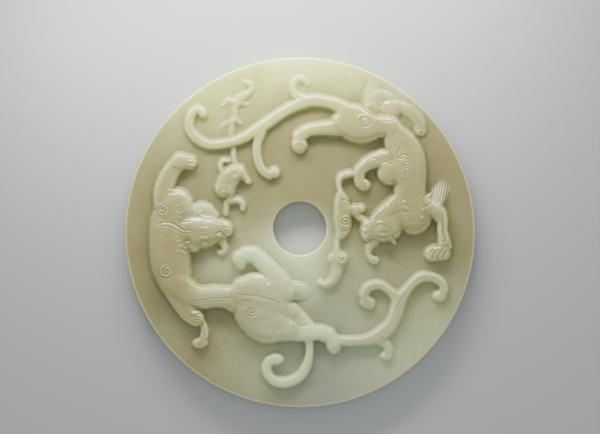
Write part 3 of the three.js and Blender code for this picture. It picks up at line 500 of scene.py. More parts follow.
def dress_lower_dragon(relief):
    # Raised paw
    relief.bead(0.85, 0.4, [(-53, 32.6), (-51.4, 33.1), (-49.9, 32.8)], [(-56.4, 17.8), (-54.2, 18.2),
        (-52.4, 18.3), (-50.6, 17.7), (-48.8, 16.6)])
    relief.bosses((-48.6, 32.3, 0.8, 0.4), (-46.8, 32, 0.8, 0.35), (-54.6, 30.8, 0.8, 0.4),
        (-53.8, 28.7, 0.9, 0.4))
    relief.hair([(-48.2, 31.3), (-46, 31.2), (-43.4, 30.9)], [(-48.2, 27.9), (-46, 27.8), (-43.6, 27.6)], 3,
        0.7, 0.34)
    # Shoulder: faint arcs over two curls side by side
    relief.cut(0.6, 0.18, [(-56.6, 16.2), (-54.4, 16.6), (-52.2, 16)], [(-56.2, 14.8), (-54.4, 15.1),
        (-52.8, 14.6)])
    relief.spiral(-58.2, 9.6, 2, 100, 1.5, 0.62, 0.38)
    relief.spiral(-51.4, 10.1, 1.8, 80, -1.4, 0.62, 0.38)
    relief.bosses((-62.4, 11, 1, 0.4), (-61.2, 11.8, 0.8, 0.2))
    relief.pits((-63.8, 7.5, 0.6))
    # Chest: long waving lines, and tufts on the belly
    relief.cut(0.8, 0.42, [(-60.5, 3.6), (-58.5, 4.1), (-56.8, 4.2), (-55, 3.9), (-53.2, 3.2), (-52, 2.4),
        (-51, 1.8), (-49.8, 1), (-48.3, 0.7), (-46.4, 1)])
    relief.cut(0.7, 0.32, [(-59.2, 2.4), (-57.3, 2.8), (-55.4, 2.5), (-53.6, 1.8), (-52, 0.8), (-50.2, 0),
        (-48, -0.4), (-46.4, 0)], [(-52.2, 5.4), (-50.8, 4.6), (-49.4, 4.4), (-47.4, 4.5), (-46.2, 5)])
    relief.cut(0.55, 0.2, [(-50.2, 5.7), (-48.4, 5.4), (-46.6, 5.7)], [(-52.6, -0.4), (-50, -1.4),
        (-47.8, -1.6)])
    relief.bead(0.95, 0.42, [(-53.6, -2), (-51.9, -2)], [(-54.6, -3), (-53.2, -3.1)], [(-52.8, -3.9),
        (-51.2, -3.6)], [(-48.6, -4.5), (-47.2, -4.3)], [(-49.2, -6.3), (-48.2, -7)], [(-53.2, -8.1),
        (-50.4, -8)], [(-48.2, -8.5), (-46.9, -8.2)], [(-50, -8.2), (-48.8, -9.4)], [(-51.8, -5.9),
        (-50.2, -5.6)])
    relief.pits((-48, -3.5, 0.6))
    # Flank: the curl near the waist
    relief.spiral(-57, -16.6, 1.9, 100, 1.3, 0.65, 0.42)
    relief.cut(0.55, 0.18, arc(-57, -16.6, 3.2, 40, 140), arc(-57, -16.6, 3.1, 215, 320),
        arc(-57, -16.6, 4.3, 55, 125))
    # Waist: a bright upper edge, and the hair of the spine along it
    relief.bead(0.85, 0.4, [(-48.4, -20.4), (-47.3, -21.7), (-45.6, -22.9), (-43, -23.8), (-40, -24),
        (-36, -23.7), (-32.4, -23.9), (-29.8, -23.6), (-28.2, -22.9), (-26.6, -21.4), (-24.6, -19.8),
        (-22, -18.8), (-19.6, -18.3), (-17.8, -17.9), (-16.4, -18.2)])
    relief.cut(0.6, 0.26, [(-46.8, -29.3), (-42, -28.9), (-37, -28.2), (-32, -28.1), (-28.6, -27.8)],
        [(-47.4, -30.2), (-42, -30), (-36, -29.3), (-31.6, -29.2)], [(-47, -31.2), (-45.2, -31.8),
        (-43.4, -31.9)])
    # Lower fore paw
    relief.bead(1.3, 0.5, [(-46.3, -34.4), (-44.2, -34.4)], [(-43.7, -33.9), (-42, -33.7)])
    relief.bosses((-43.3, -35.5, 0.6, 0.3), (-42.1, -35.5, 0.6, 0.3), (-42.2, -37, 0.6, 0.25))
    relief.hair([(-44.4, -35.3), (-42.6, -34.7), (-40.4, -34.7)], [(-45.6, -38.6), (-43.6, -38.4),
        (-41.2, -38)], 4, 0.6, 0.26)
    # Rump: the groove between back and thigh, a boss, a curl and rib hair
    relief.cut(0.8, 0.32, [(-27.2, -25.8), (-26.2, -26.2), (-24.5, -26.6), (-22, -26.6), (-19, -27),
        (-16.5, -27.6), (-13.5, -28.4), (-12, -28.7), (-10.5, -29.3), (-8.8, -30.2)])
    relief.cut(0.65, 0.3, [(-25.4, -29.2), (-23, -29), (-20.9, -29.6)])
    relief.hair([(-27.2, -24), (-25.8, -25.6)], [(-24.6, -23), (-23, -25.4)], 3, 0.5, 0.2)
    relief.bosses((-13.3, -22.5, 1, 0.5), (-13.8, -13.6, 0.9, 0.2))
    relief.spiral(-20.6, -33.5, 2.6, 340, -1.6, 0.6, 0.32)
    relief.cut(0.6, 0.18, *[arc(-17.5, -31.5, 4.6 + 1.2 * k, -66, -14) for k in range(8)])
    relief.cut(0.5, 0.2, [(-16.4, -37.2), (-14.6, -37.4), (-12.6, -37.1)])
    relief.hair([(-3, -21.9), (-0.4, -22.3), (2.4, -22)], [(-3.8, -29), (-0.6, -29.9), (2.6, -29.7)], 8,
        0.6, 0.18)
    relief.bead(1, 0.4, [(-3.6, -21.1), (-1.7, -21.7)], [(-4, -28.3), (-1.8, -28.3)])
    # Hind paws
    relief.hair([(-27.8, -13.2), (-27.5, -15.2)], [(-23.8, -13), (-23.7, -15)], 4, 0.6, 0.24)
    relief.bead(0.85, 0.42, [(-4.4, -38.8), (-3.2, -39.1), (-1, -40.3), (0.6, -40.8), (3, -40.6),
        (6, -40.1), (8.6, -40.4), (11.4, -41.1), (14.2, -41.4)])
    relief.cut(0.7, 0.4, [(-5.1, -37.4), (-5.3, -39.8)])
    relief.hair([(12.6, -48.8), (12.3, -51.6)], [(16, -48.4), (16, -51.8)], 3, 0.6, 0.28)
    relief.pits((16.8, -50.6, 0.8))
    relief.bosses((16.4, -49.6, 0.8, 0.3), (9.3, -46, 0.8, 0.3), (8.2, -42.2, 1.2, 0.15))
    # Head in profile: brow, eyes, nostrils, open mouth and jaw
    relief.bead(1.1, 0.42, [(-42.6, 7.6), (-40.6, 6.4), (-38.4, 6), (-36.8, 5.5), (-35, 5), (-32.8, 5),
        (-31, 4.3), (-29.6, 3.9)], [(-42.4, 1.6), (-40.8, 1.7), (-39.2, 1.6)], [(-42.4, 1.7), (-39.4, 1.7)],
        [(-42.6, -2.3), (-41, -2.3), (-39.6, -2.2)], [(-42.4, -2.2), (-39.8, -2.2)], [(-41.3, -4.9),
        (-39.5, -5.1)], [(-31.4, 2.9), (-29.6, 2.8)], [(-31.9, 1.5), (-29.9, 1.5)])
    relief.cut(0.5, 0.26, [(-36.2, 4.4), (-34.6, 3.8), (-33.4, 3)], [(-34.8, 4.9), (-33.2, 4.3),
        (-32.2, 3.4)], [(-31.8, 2.2), (-29.6, 2.1)], [(-42.8, 2.6), (-40.8, 2.9), (-38.8, 2.4)],
        [(-43, -1.4), (-41, -1.2), (-39.2, -1.4)], [(-41.8, -4.1), (-40.2, -3.9), (-38.8, -4.6)])
    relief.cut(0.8, 0.55, [(-36.2, -0.7), (-34.6, 0.1), (-33.6, 0.1), (-32.6, -0.9), (-31.4, -1.9),
        (-30.4, -2.1), (-28.8, -1.7)])
    relief.bosses((-42.6, 8.7, 1.2, 0.7), (-39.1, 0.4, 0.6, 0.25), (-34.4, -1.6, 0.9, 0.3))
    relief.pits((-34.5, -6, 0.9))
    relief.hair([(-46.6, 13.4), (-44.6, 10.4), (-42.8, 7.8)], [(-39.4, 13.6), (-37.6, 10), (-35.8, 6.8)], 8,
        0.75, 0.6)
    # Loose hair before the brow, whiskers, and scratches beside the beard
    relief.bead(0.6, 0.3, [(-40.4, 14.2), (-39.7, 13.2), (-38.8, 12)], [(-42.6, 13.6), (-42, 12.6),
        (-41.2, 11.6)])
    relief.hair([(-29.4, 2.6), (-26.6, 6.4)], [(-26.6, 0.4), (-24.6, 3.4)], 6, 0.5, -0.24)
    relief.hair([(-27.8, 0.4), (-25.2, -2.8)], [(-25.6, 1), (-23.4, -1.8)], 3, 0.5, -0.24)
    relief.bead(0.5, 0.14, [(-25.8, -4.2), (-24, -4.4), (-22.4, -4)], [(-25.4, -5.4), (-22.6, -5)])
    relief.hair([(-38.8, -10.2), (-38, -16)], [(-34.8, -11.4), (-34.6, -15.6)], 4, 0.7, -0.08)
    # Curled ends of the tails
    relief.cut(0.6, 0.28, [(-45.2, -45.7), (-43.4, -45.4), (-42.4, -46)], [(58, -26.4), (59.8, -25.8),
        (61.2, -26.8)], [(29.4, -27.8), (31, -28.8), (30.6, -30.6)], [(36, -52), (37.4, -51.8),
        (38.6, -52.6)], [(-12.4, -53.6), (-10.6, -53), (-9, -54)], [(41, -33.4), (42, -30.6), (43.6, -28),
        (45.6, -26)], [(33, -43.8), (35.4, -45.4), (36.6, -46.8)])


def dress_hole_dragon(relief):
    relief.bosses((17.3, 17.4, 0.9, 0.4), (15.6, -6.7, 0.8, 0.35), (13.8, -10.2, 0.8, 0.4),
        (26.3, 10.6, 1.2, 0.2))
    relief.cut(0.75, 0.4, [(17.4, 13.5), (19.2, 13.9), (21, 13.1)])
    relief.cut(0.55, 0.3, [(18.4, 11.7), (19.6, 11.9), (20.8, 11.2)], [(18.4, 9.2), (20.8, 9)],
        [(18.4, 8.2), (20.8, 8)], [(16.6, 0.9), (18.6, 0.2), (20.6, 1)], [(16.6, -0.6), (18.4, -1.2)],
        [(22.4, 9.8), (24, 10.4), (25.2, 10.2)])
    relief.hair([(15.2, 12.4), (15, 9)], [(16.6, 12.6), (16.4, 9.4)], 2, 0.5, 0.18)
    relief.spiral(19.3, 4.3, 2.5, 300, 1.6, 0.6, 0.38)
    relief.bead(0.9, 0.35, [(17.8, 3.4), (18.7, 2.9), (19.6, 2.8)], [(10, -21.9), (11.4, -21.6),
        (12.6, -21.2)])
    relief.cut(0.5, 0.2, arc(19.2, 4.2, 3.5, 195, 320))
    relief.spiral(17.9, -11.2, 1.8, 60, 1.2, 0.55, 0.34)


def dress_climbing_dragon(relief):
    relief.cut(0.6, 0.36, [(-30.4, 26.2), (-28.9, 27.4), (-27.3, 27.3), (-26, 26)], [(-31.4, 27),
        (-29.4, 28.8), (-27, 28.7), (-25, 27)])
    relief.swell(-27.5, 23.6, 1.7, 1.4, 0.3)
    relief.bosses((-32.7, 17.3, 0.9, 0.4), (-22.2, 21.4, 1, 0.3), (-32.8, 54.1, 0.7, 0.4),
        (-30.7, 41.5, 0.6, 0.3))
    relief.cut(0.5, 0.22, arc(-32.6, 17.6, 2.1, 150, 330), [(-30.6, 21.6), (-29.2, 19.8), (-28.8, 17.4)],
        arc(-22.2, 21.5, 1.2, 20, 200), [(-28.9, 24.8), (-27.4, 25.4), (-25.8, 24.6)])
    relief.pits((-22.8, 61, 0.7), (-21.2, 57, 0.7), (-24, 56, 0.6), (-25.4, 53.1, 0.8))
    relief.bead(0.8, 0.3, [(-28.2, 57.6), (-26, 58.5), (-23.6, 58.8), (-22.2, 58.8)])


def cut_relief(cell):
    """The whole carved face, from the lowest forms to the highest."""
    relief = Relief(cell)
    for carve in (carve_climbing_dragon, carve_hole_dragon, carve_lower_dragon, carve_upper_dragon):
        carve(relief)
    relief.height = blurred(relief.height, FORM_SOFTENING / cell)
    for dress in (dress_climbing_dragon, dress_hole_dragon, dress_lower_dragon, dress_upper_dragon):
        dress(relief)
    relief.height = blurred(relief.height, CUT_SOFTENING / cell)
    knee = HIGHEST_RELIEF / MM - TOP_EASE
    over = relief.height > knee
    relief.height[over] = knee + TOP_EASE * np.tanh((relief.height[over] - knee) / TOP_EASE)
    return relief


def blurred(field, reach):
    """The field averaged over a reach of cells, with a bell-shaped weight."""
    taps = np.arange(-int(2.5 * reach), int(2.5 * reach) + 1)
    weights = np.exp(-0.5 * (taps / reach) ** 2)
    weights /= weights.sum()
    for axis in (0, 1):
        pad = [(0, 0), (0, 0)]
        pad[axis] = (len(taps) // 2, len(taps) // 2)
        wide = np.pad(field, pad, mode="edge")
        size = field.shape[axis]
        field = sum(w * wide.take(range(k, k + size), axis=axis) for k, w in enumerate(weights))
    return field


def circle_inside(relief, settings):
    """Marks the cells that lie wholly on the face, between the hole and the rim."""
    hole = (settings.hole_x / MM, settings.hole_y / MM)
    bore = (settings.hole_diameter / 2 + settings.hole_bevel) / MM
    edge = (DISC_RADIUS - settings.rim_rounding) / MM
    gap = relief.cell * EDGE_GAP
    kept = np.hypot(relief.x, relief.y) < edge - gap
    kept &= np.hypot(relief.x - hole[0], relief.y - hole[1]) > bore + gap
    return kept[:-1, :-1] & kept[1:, :-1] & kept[:-1, 1:] & kept[1:, 1:]


def carved_sheet(relief, settings):
    """Corners and quads of the carved face, between the hole and the rim."""
    rows, columns = np.nonzero(circle_inside(relief, settings))
    width = relief.x.shape[1]
    corner = rows * width + columns
    quads = np.stack([corner, corner + 1, corner + width + 1, corner + width], axis=1)
    used, quads = np.unique(quads, return_inverse=True)
    fields = (relief.x, relief.y, relief.height + SLAB / MM)
    return np.stack([field.ravel()[used] for field in fields], axis=1), quads.reshape(-1, 4)


def edge_loops(quads):
    """The open edges of a sheet of quads, as closed loops of vertex numbers."""
    starts = quads.ravel()
    ends = np.roll(quads, -1, axis=1).ravel()
    seen = set(zip(starts.tolist(), ends.tolist()))
    follow = {a: b for a, b in seen if (b, a) not in seen}
    loops = []
    while follow:
        start, here = next(iter(follow.items()))
        loop = [start]
        del follow[start]
        while here != start:
            loop.append(here)
            here = follow.pop(here)
        loops.append(loop)
    return loops


def ring_profiles(settings):
    """Radius and height of each ring from the face to the back, down the bore and down the rim."""
    bore, bevel = settings.hole_diameter / 2 / MM, settings.hole_bevel / MM
    edge, rounding, slab = DISC_RADIUS / MM, settings.rim_rounding / MM, SLAB / MM
    flare = [(bore + bevel, 0.0), (bore + bevel * 0.3, bevel * 0.3), (bore, bevel)]
    hole = [(radius, slab - rise) for radius, rise in flare] + [(bore, slab / 2)] + flare[::-1]

    def rounded(degrees):
        turn = math.radians(degrees)
        return edge - rounding * (1 - math.sin(turn)), rounding * (1 - math.cos(turn))

    rim = [(radius, slab - rise) for radius, rise in map(rounded, (0, 30, 60, 90))]
    return hole, rim + [rounded(degrees) for degrees in (90, 45, 0)]


def build_mesh(relief, settings):
    """A closed mesh: the carved sheet, then the bore, the rim and the back turned onto it."""
    places, quads = carved_sheet(relief, settings)
    faces = [tuple(quad) for quad in quads.tolist()]
    vertices = [places]
    count = len(places)
    centres = (np.array([settings.hole_x, settings.hole_y]) / MM, np.zeros(2))
    lowest = []
    for loop, centre, profile in zip(sorted(edge_loops(quads), key=len), centres, ring_profiles(settings)):
        spokes = places[loop, :2] - centre
        spokes /= np.linalg.norm(spokes, axis=1)[:, None]
        rings = [np.column_stack([centre + spokes * radius, np.full(len(loop), height)])
                 for radius, height in profile]
        places[loop] = rings[0]
        above = loop
        for ring in rings[1:]:
            vertices.append(ring)
            here = list(range(count, count + len(loop)))
            count += len(loop)
            faces += zip(above[1:] + above[:1], above, here, here[1:] + here[:1])
            above = here
        lowest.append(closed_ring(above, np.arctan2(spokes[:, 1], spokes[:, 0])))
    faces += back_faces(*lowest)
    mesh = bpy.data.meshes.new(settings.piece_name)
    mesh.from_pydata((np.vstack(vertices) * MM).tolist(), [], faces)
    mesh.validate()
    mesh.update()
    return mesh


def closed_ring(numbers, turn):
    """A ring's vertex numbers and angles in turning order, with the first again at the end."""
    order = np.argsort(turn)
    numbers, turn = np.array(numbers)[order], turn[order]
    return np.append(numbers, numbers[0]).tolist(), np.append(turn, turn[0] + 2 * math.pi)


def back_faces(inner_ring, outer_ring):
    """The flat back, bridged from the edge of the bore to the edge of the rim."""
    inner, inner_turn = inner_ring
    outer, outer_turn = outer_ring
    faces = []
    i = j = 0
    while i < len(inner) - 1 or j < len(outer) - 1:
        outer_done = j == len(outer) - 1
        if outer_done or (i < len(inner) - 1 and inner_turn[i + 1] <= outer_turn[j + 1]):
            faces.append((inner[i], outer[j], inner[i + 1]))
            i += 1
        else:
            faces.append((inner[i], outer[j], outer[j + 1]))
            j += 1
    return faces


def places_of(mesh):
    """The places of a mesh's vertices, one row each."""
    places = np.zeros(len(mesh.vertices) * 3)
    mesh.vertices.foreach_get("co", places)
    return places.reshape(-1, 3)


def apply_modifier(piece, modifier):
    bpy.context.view_layer.objects.active = piece
    bpy.ops.object.modifier_apply(modifier=modifier.name)


def thin_out(piece, settings):
    """Merges triangles of the carved sheet where it is plain; the turned rim keeps its rings."""
    most = settings.most_triangles
    triangles = sum(len(face.vertices) - 2 for face in piece.data.polygons)
    if triangles <= most:
        return
    places = places_of(piece.data)
    inside = DISC_RADIUS - settings.rim_rounding - RIM_MARGIN
    sheet = np.nonzero(np.hypot(places[:, 0], places[:, 1]) < inside)[0]
    piece.vertex_groups.new(name="sheet").add(sheet.tolist(), 1.0, "REPLACE")
    modifier = piece.modifiers.new("thin", "DECIMATE")
    modifier.vertex_group = "sheet"
    modifier.vertex_group_factor = SHEET_FIRST
    modifier.ratio = most / triangles
    apply_modifier(piece, modifier)


def mark_surface(mesh, relief):
    """Stores on the mesh how high it stands, how deep it lies among forms, its edges and its lines."""
    raised = np.maximum(relief.height, 0)
    fine = raised - blurred(raised, FINE_REACH / relief.cell)
    on_form = np.clip(raised - FORM_FOOT, 0, 1)
    around = blurred(raised, POCKET_REACH / relief.cell)
    # pocket carries painted shade under the forms, edge a painted highlight on fine ridges, and line the
    # darkening of the cuts, partly grime and partly painted shade
    marks = {
        "crown": raised / (HIGHEST_RELIEF / MM),
        "pocket": np.clip(around - 3 * raised - 0.1, 0, POCKET_FULL) / POCKET_FULL,
        "edge": np.clip(fine / EDGE_FULL, 0, 1),
        "line": np.clip(-fine / LINE_FULL, 0, 1) * on_form,
    }
    places = places_of(mesh) / MM
    last = relief.x.shape[0] - 1
    column = np.clip(np.rint((places[:, 0] - relief.low) / relief.cell).astype(int), 0, last)
    row = np.clip(np.rint((places[:, 1] - relief.low) / relief.cell).astype(int), 0, last)
    on_face = places[:, 2] > SLAB / MM - FACE_MARGIN
    for name, field in marks.items():
        layer = mesh.attributes.new(name, "FLOAT", "POINT")
        layer.data.foreach_set("value", np.where(on_face, field[row, column], 0).astype(np.float32))


def length_setting(name, description, default):
    return bpy.props.FloatProperty(name=name, description=description, default=default, unit="LENGTH")


def colour_setting(name, description, default):
    return bpy.props.FloatVectorProperty(
        name=name, description=description, default=default, subtype="COLOR", size=3)


class JadeDiscSettings(bpy.types.PropertyGroup):
    piece_name: bpy.props.StringProperty(
        name="Piece", description="Name of the carved disc", default="carved_jade_disc")
    most_triangles: bpy.props.IntProperty(
        name="Triangles", description="The most triangles that the disc keeps", default=190000)
    cell: length_setting("Cutter step", "Spacing of the height field", 0.22 * MM)
    hole_diameter: length_setting("Hole diameter", "Bore of the middle hole", 22.7 * MM)
    hole_bevel: length_setting("Hole bevel", "Flare where the bore meets a face", 0.9 * MM)
    hole_x: length_setting("Hole X", "How far the hole is to the right of the middle", -0.1 * MM)
    hole_y: length_setting("Hole Y", "How far the hole is above the middle", 1.65 * MM)
    rim_rounding: length_setting("Rim rounding", "Radius on both edges of the rim", 0.9 * MM)
    pale: colour_setting("Pale jade", "Colour of the clearer stone", (0.35, 0.335, 0.132))
    warm: colour_setting("Warm jade", "Colour of the creamier stone", (0.315, 0.275, 0.094))
    # Painted light: a bright colour laid near the top, where the light falls from beyond the top
    painted_top_light: colour_setting("White jade", "Colour of the bright stone near the top", (0.88, 0.99, 0.27))
    # Also the tint of the painted highlights on the fine ridges, the rim and the hole's edge
    milky: colour_setting("Milky jade", "Colour of the cool, milky stone", (0.80, 0.88, 0.47))
    grey: colour_setting("Grey jade", "Colour of the grey-green stone", (0.38, 0.43, 0.30))
    honey: colour_setting("Honey jade", "Colour of the yellowish stone", (0.31, 0.255, 0.092))
    # A lighter colour on the raised forms, from their foot up, which also paints light on their walls
    cream: colour_setting("Cream jade", "Colour of the handled crests", (0.54, 0.46, 0.14))
    # Painted shade: laid in the pockets under the forms, and, partly as grime, in the cut lines
    shade_and_grime_olive: colour_setting("Olive", "Colour of the grime in the pockets", (0.18, 0.14, 0.03))
    russet: colour_setting("Russet", "Colour of the iron stain", (0.30, 0.205, 0.085))


class StudioSettings(bpy.types.PropertyGroup):
    floor_colour: colour_setting("Floor", "Colour of the plain floor", (0.50, 0.50, 0.50))
    key_power: bpy.props.FloatProperty(
        name="Key light", description="Power of the light beyond the top of the disc", default=0.44,
        unit="POWER")
    fill_power: bpy.props.FloatProperty(
        name="Fill light", description="Power of the broad light overhead", default=0.6, unit="POWER")
    camera_distance: length_setting("Camera distance", "From the carved face up to the camera", 0.9)
    view_width: length_setting("View width", "Width that the picture takes in at the face", 0.2566)
    view_y: length_setting("Aim", "How far above the disc's middle the camera aims", 0.0065)


def new_group(name, inputs, outputs):
    """A shader node group with named sockets; returns the group and its input and output nodes."""
    group = bpy.data.node_groups.new(name, "ShaderNodeTree")
    for socket, kind, default in inputs:
        made = group.interface.new_socket(socket, in_out="INPUT", socket_type=kind)
        made.default_value = default
    for socket in outputs:
        group.interface.new_socket(socket, in_out="OUTPUT", socket_type="NodeSocketFloat")
    return group, group.nodes.new("NodeGroupInput"), group.nodes.new("NodeGroupOutput")


def feed(tree, socket, value):
    """Links a socket to another one, or gives it a plain value."""
    if isinstance(value, bpy.types.NodeSocket):
        tree.links.new(value, socket)
    else:
        socket.default_value = value


def math_node(tree, operation, a, b, clamp=False):
    node = tree.nodes.new("ShaderNodeMath")
    node.operation = operation
    node.use_clamp = clamp
    feed(tree, node.inputs[0], a)
    feed(tree, node.inputs[1], b)
    return node.outputs[0]


def vector_node(tree, operation, output, *values):
    node = tree.nodes.new("ShaderNodeVectorMath")
    node.operation = operation
    for socket, value in zip(node.inputs, values):
        feed(tree, socket, value)
    return node.outputs[output]


def noise_node(tree, place, scale, detail=3.0, roughness=0.5, distortion=0.0):
    node = tree.nodes.new("ShaderNodeTexNoise")
    for name, value in (("Vector", place), ("Scale", scale), ("Detail", detail), ("Roughness", roughness),
                        ("Distortion", distortion)):
        feed(tree, node.inputs[name], value)
    return node.outputs["Fac"]


def ramp_node(tree, value, low, high, to_low=0.0, to_high=1.0):
    """Maps a value between two limits, smoothly, and clamps it."""
    node = tree.nodes.new("ShaderNodeMapRange")
    node.interpolation_type = "SMOOTHSTEP"
    for name, number in (("Value", value), ("From Min", low), ("From Max", high), ("To Min", to_low),
                         ("To Max", to_high)):
        feed(tree, node.inputs[name], number)
    return node.outputs["Result"]


def mix_node(tree, share, first, second, blend="MIX"):
    """Mixes two colours, given as sockets or as plain colours."""
    node = tree.nodes.new("ShaderNodeMix")
    node.data_type = "RGBA"
    node.blend_type = blend
    feed(tree, node.inputs[0], share)
    for socket, colour in ((node.inputs[6], first), (node.inputs[7], second)):
        feed(tree, socket, colour if isinstance(colour, bpy.types.NodeSocket) else (*colour, 1))
    return node.outputs[2]


def tinted(tree, colour, tint, mask, strength, clamp=False):
    """The colour, turned towards a tint where the mask lets it."""
    return mix_node(tree, math_node(tree, "MULTIPLY", mask, strength, clamp), colour, tint)


def tint_and_light_zone_group():
    """A soft patch round a place, with a broken edge, used both for tints of the stone and for the painted
    light near the top.
    """
    group, given, made = new_group(
        "tint_and_light_zone",
        [("Place", "NodeSocketVector", (0, 0, 0)), ("Middle", "NodeSocketVector", (0, 0, 0)),
         ("Reach", "NodeSocketFloat", 0.03), ("Raggedness", "NodeSocketFloat", 0.4)], ["Mask"])
    place, middle, reach, raggedness = given.outputs[:4]
    away = vector_node(group, "DISTANCE", "Value", place, middle)
    torn = noise_node(group, place, 42.0, detail=4.0, roughness=0.6, distortion=0.3)
    torn = math_node(group, "SUBTRACT", torn, 0.5)
    torn = math_node(group, "MULTIPLY", torn, raggedness)
    share = math_node(group, "DIVIDE", away, reach)
    mask = ramp_node(group, math_node(group, "ADD", share, torn), 1.0, 0.15)
    group.links.new(mask, made.inputs["Mask"])
    return group


def clouding_group():
    """Drifts of paler and warmer stone, with fine flecks in them."""
    group, given, made = new_group(
        "jade_clouding",
        [("Place", "NodeSocketVector", (0, 0, 0)), ("Cloud scale", "NodeSocketFloat", 30.0),
         ("Fleck scale", "NodeSocketFloat", 420.0), ("Fleck strength", "NodeSocketFloat", 0.1)],
        ["Cloud", "Fleck"])
    place, cloud_scale, fleck_scale, fleck_strength = given.outputs[:4]
    cloud = noise_node(group, place, cloud_scale, detail=5.0, roughness=0.55, distortion=0.8)
    group.links.new(ramp_node(group, cloud, 0.34, 0.66), made.inputs["Cloud"])
    fleck = noise_node(group, place, fleck_scale, roughness=0.6, distortion=0.2)
    fleck = math_node(group, "SUBTRACT", fleck, 0.5)
    fleck = math_node(group, "MULTIPLY", fleck, fleck_strength)
    group.links.new(math_node(group, "ADD", fleck, 1.0), made.inputs["Fleck"])
    return group


def polish_group():
    """The unevenness that abrasives leave under a polish, as a height for a bump."""
    group, given, made = new_group(
        "hand_polish",
        [("Place", "NodeSocketVector", (0, 0, 0)), ("Fineness", "NodeSocketFloat", 260.0)], ["Height"])
    place, fineness = given.outputs[:2]
    broad = noise_node(group, place, fineness, detail=2.0)
    fine = noise_node(group, place, math_node(group, "MULTIPLY", fineness, 6.0))
    height = math_node(group, "ADD", broad, math_node(group, "MULTIPLY", fine, 0.25))
    group.links.new(height, made.inputs["Height"])
    return group


def group_node(tree, group, **values):
    """A use of a node group; a socket's name has its spaces written as underscores."""
    node = tree.nodes.new("ShaderNodeGroup")
    node.node_tree = group
    for name, value in values.items():
        feed(tree, node.inputs[name.replace("_", " ")], value)
    return node


def mark_node(tree, mark):
    """A reading of one of the marks that mark_surface stored on the mesh."""
    node = tree.nodes.new("ShaderNodeAttribute")
    node.attribute_name = mark
    return node.outputs["Fac"]


def distance_from(tree, place, x, y):
    """How far a point lies from the upright line through x and y."""
    across = vector_node(tree, "MULTIPLY_ADD", "Vector", place, (1.0, 1.0, 0.0), (-x, -y, 0.0))
    return vector_node(tree, "LENGTH", "Value", across)


def paint_patches(tree, place, zone, colour, settings, patches, height, within=None):
    """Lays patches (tint, x, y, reach, strength) over a colour, or only within a mask."""
    for tint, x, y, reach, strength in patches:
        middle = (x * MM, y * MM, height * MM)
        mask = group_node(tree, zone, Place=place, Middle=middle, Reach=reach * MM).outputs["Mask"]
        if within is not None:
            mask = math_node(tree, "MULTIPLY", mask, within)
        colour = tinted(tree, colour, getattr(settings, tint), mask, strength)
    return colour


def painted_rim_highlight_mask(tree, place, settings):
    """Thin lines along the rim and round the hole: a painted highlight where the rounded edges catch the
    light.
    """
    from_middle = distance_from(tree, place, 0.0, 0.0)
    rim = ramp_node(tree, from_middle, DISC_RADIUS - 1.2 * MM, DISC_RADIUS - 0.5 * MM)
    from_hole = distance_from(tree, place, settings.hole_x, settings.hole_y)
    bore = settings.hole_diameter / 2
    hole = ramp_node(tree, from_hole, bore + 0.3 * MM, bore + 1.0 * MM, 1.0, 0.0)
    return math_node(tree, "ADD", rim, hole, True)


def carved_finish(tree, place, zone, colour, settings):
    """Colour and roughness of the carved face: a lighter cream on the forms that also paints light on their
    walls, painted shade in the pockets, painted shade and some grime in the cut lines, and painted
    highlights on the fine ridges, the rim and the hole's edge.
    """
    crown, pocket, edge, line = [mark_node(tree, mark) for mark in ("crown", "pocket", "edge", "line")]
    # The raised forms turn lighter from their foot up, which also paints light on their walls
    lifted = ramp_node(tree, crown, 0.02, 0.5)
    colour = tinted(tree, colour, settings.cream, lifted, CREAM_ON_FORMS)
    colour = paint_patches(tree, place, zone, colour, settings, CREST_PATCHES, CREST_HEIGHT, lifted)
    # Painted shade in the pockets round the forms, broken up by a speckle
    speckle = noise_node(tree, place, 120.0, detail=4.0, roughness=0.6)
    broken = ramp_node(tree, speckle, 0.3, 0.7, to_low=0.6)
    depth = math_node(tree, "MULTIPLY", pocket, broken)
    colour = tinted(tree, colour, settings.shade_and_grime_olive, depth, PAINTED_SHADE_IN_POCKETS, True)
    # Cut lines darkened: partly grime held in them, partly painted shade on their walls
    colour = tinted(tree, colour, settings.shade_and_grime_olive, line, GRIME_AND_SHADE_IN_LINES)
    # Painted highlight along the crests of the fine cuts, where the light catches them
    colour = tinted(tree, colour, settings.milky, edge, PAINTED_HIGHLIGHT_ON_EDGES)
    # Painted highlight along the rim and round the hole
    colour = tinted(tree, colour, settings.milky, painted_rim_highlight_mask(tree, place, settings), PAINTED_HIGHLIGHT_ON_EDGES)
    return colour, ramp_node(tree, crown, 0.02, 0.4, DULL_GROUND, POLISHED_CREST)


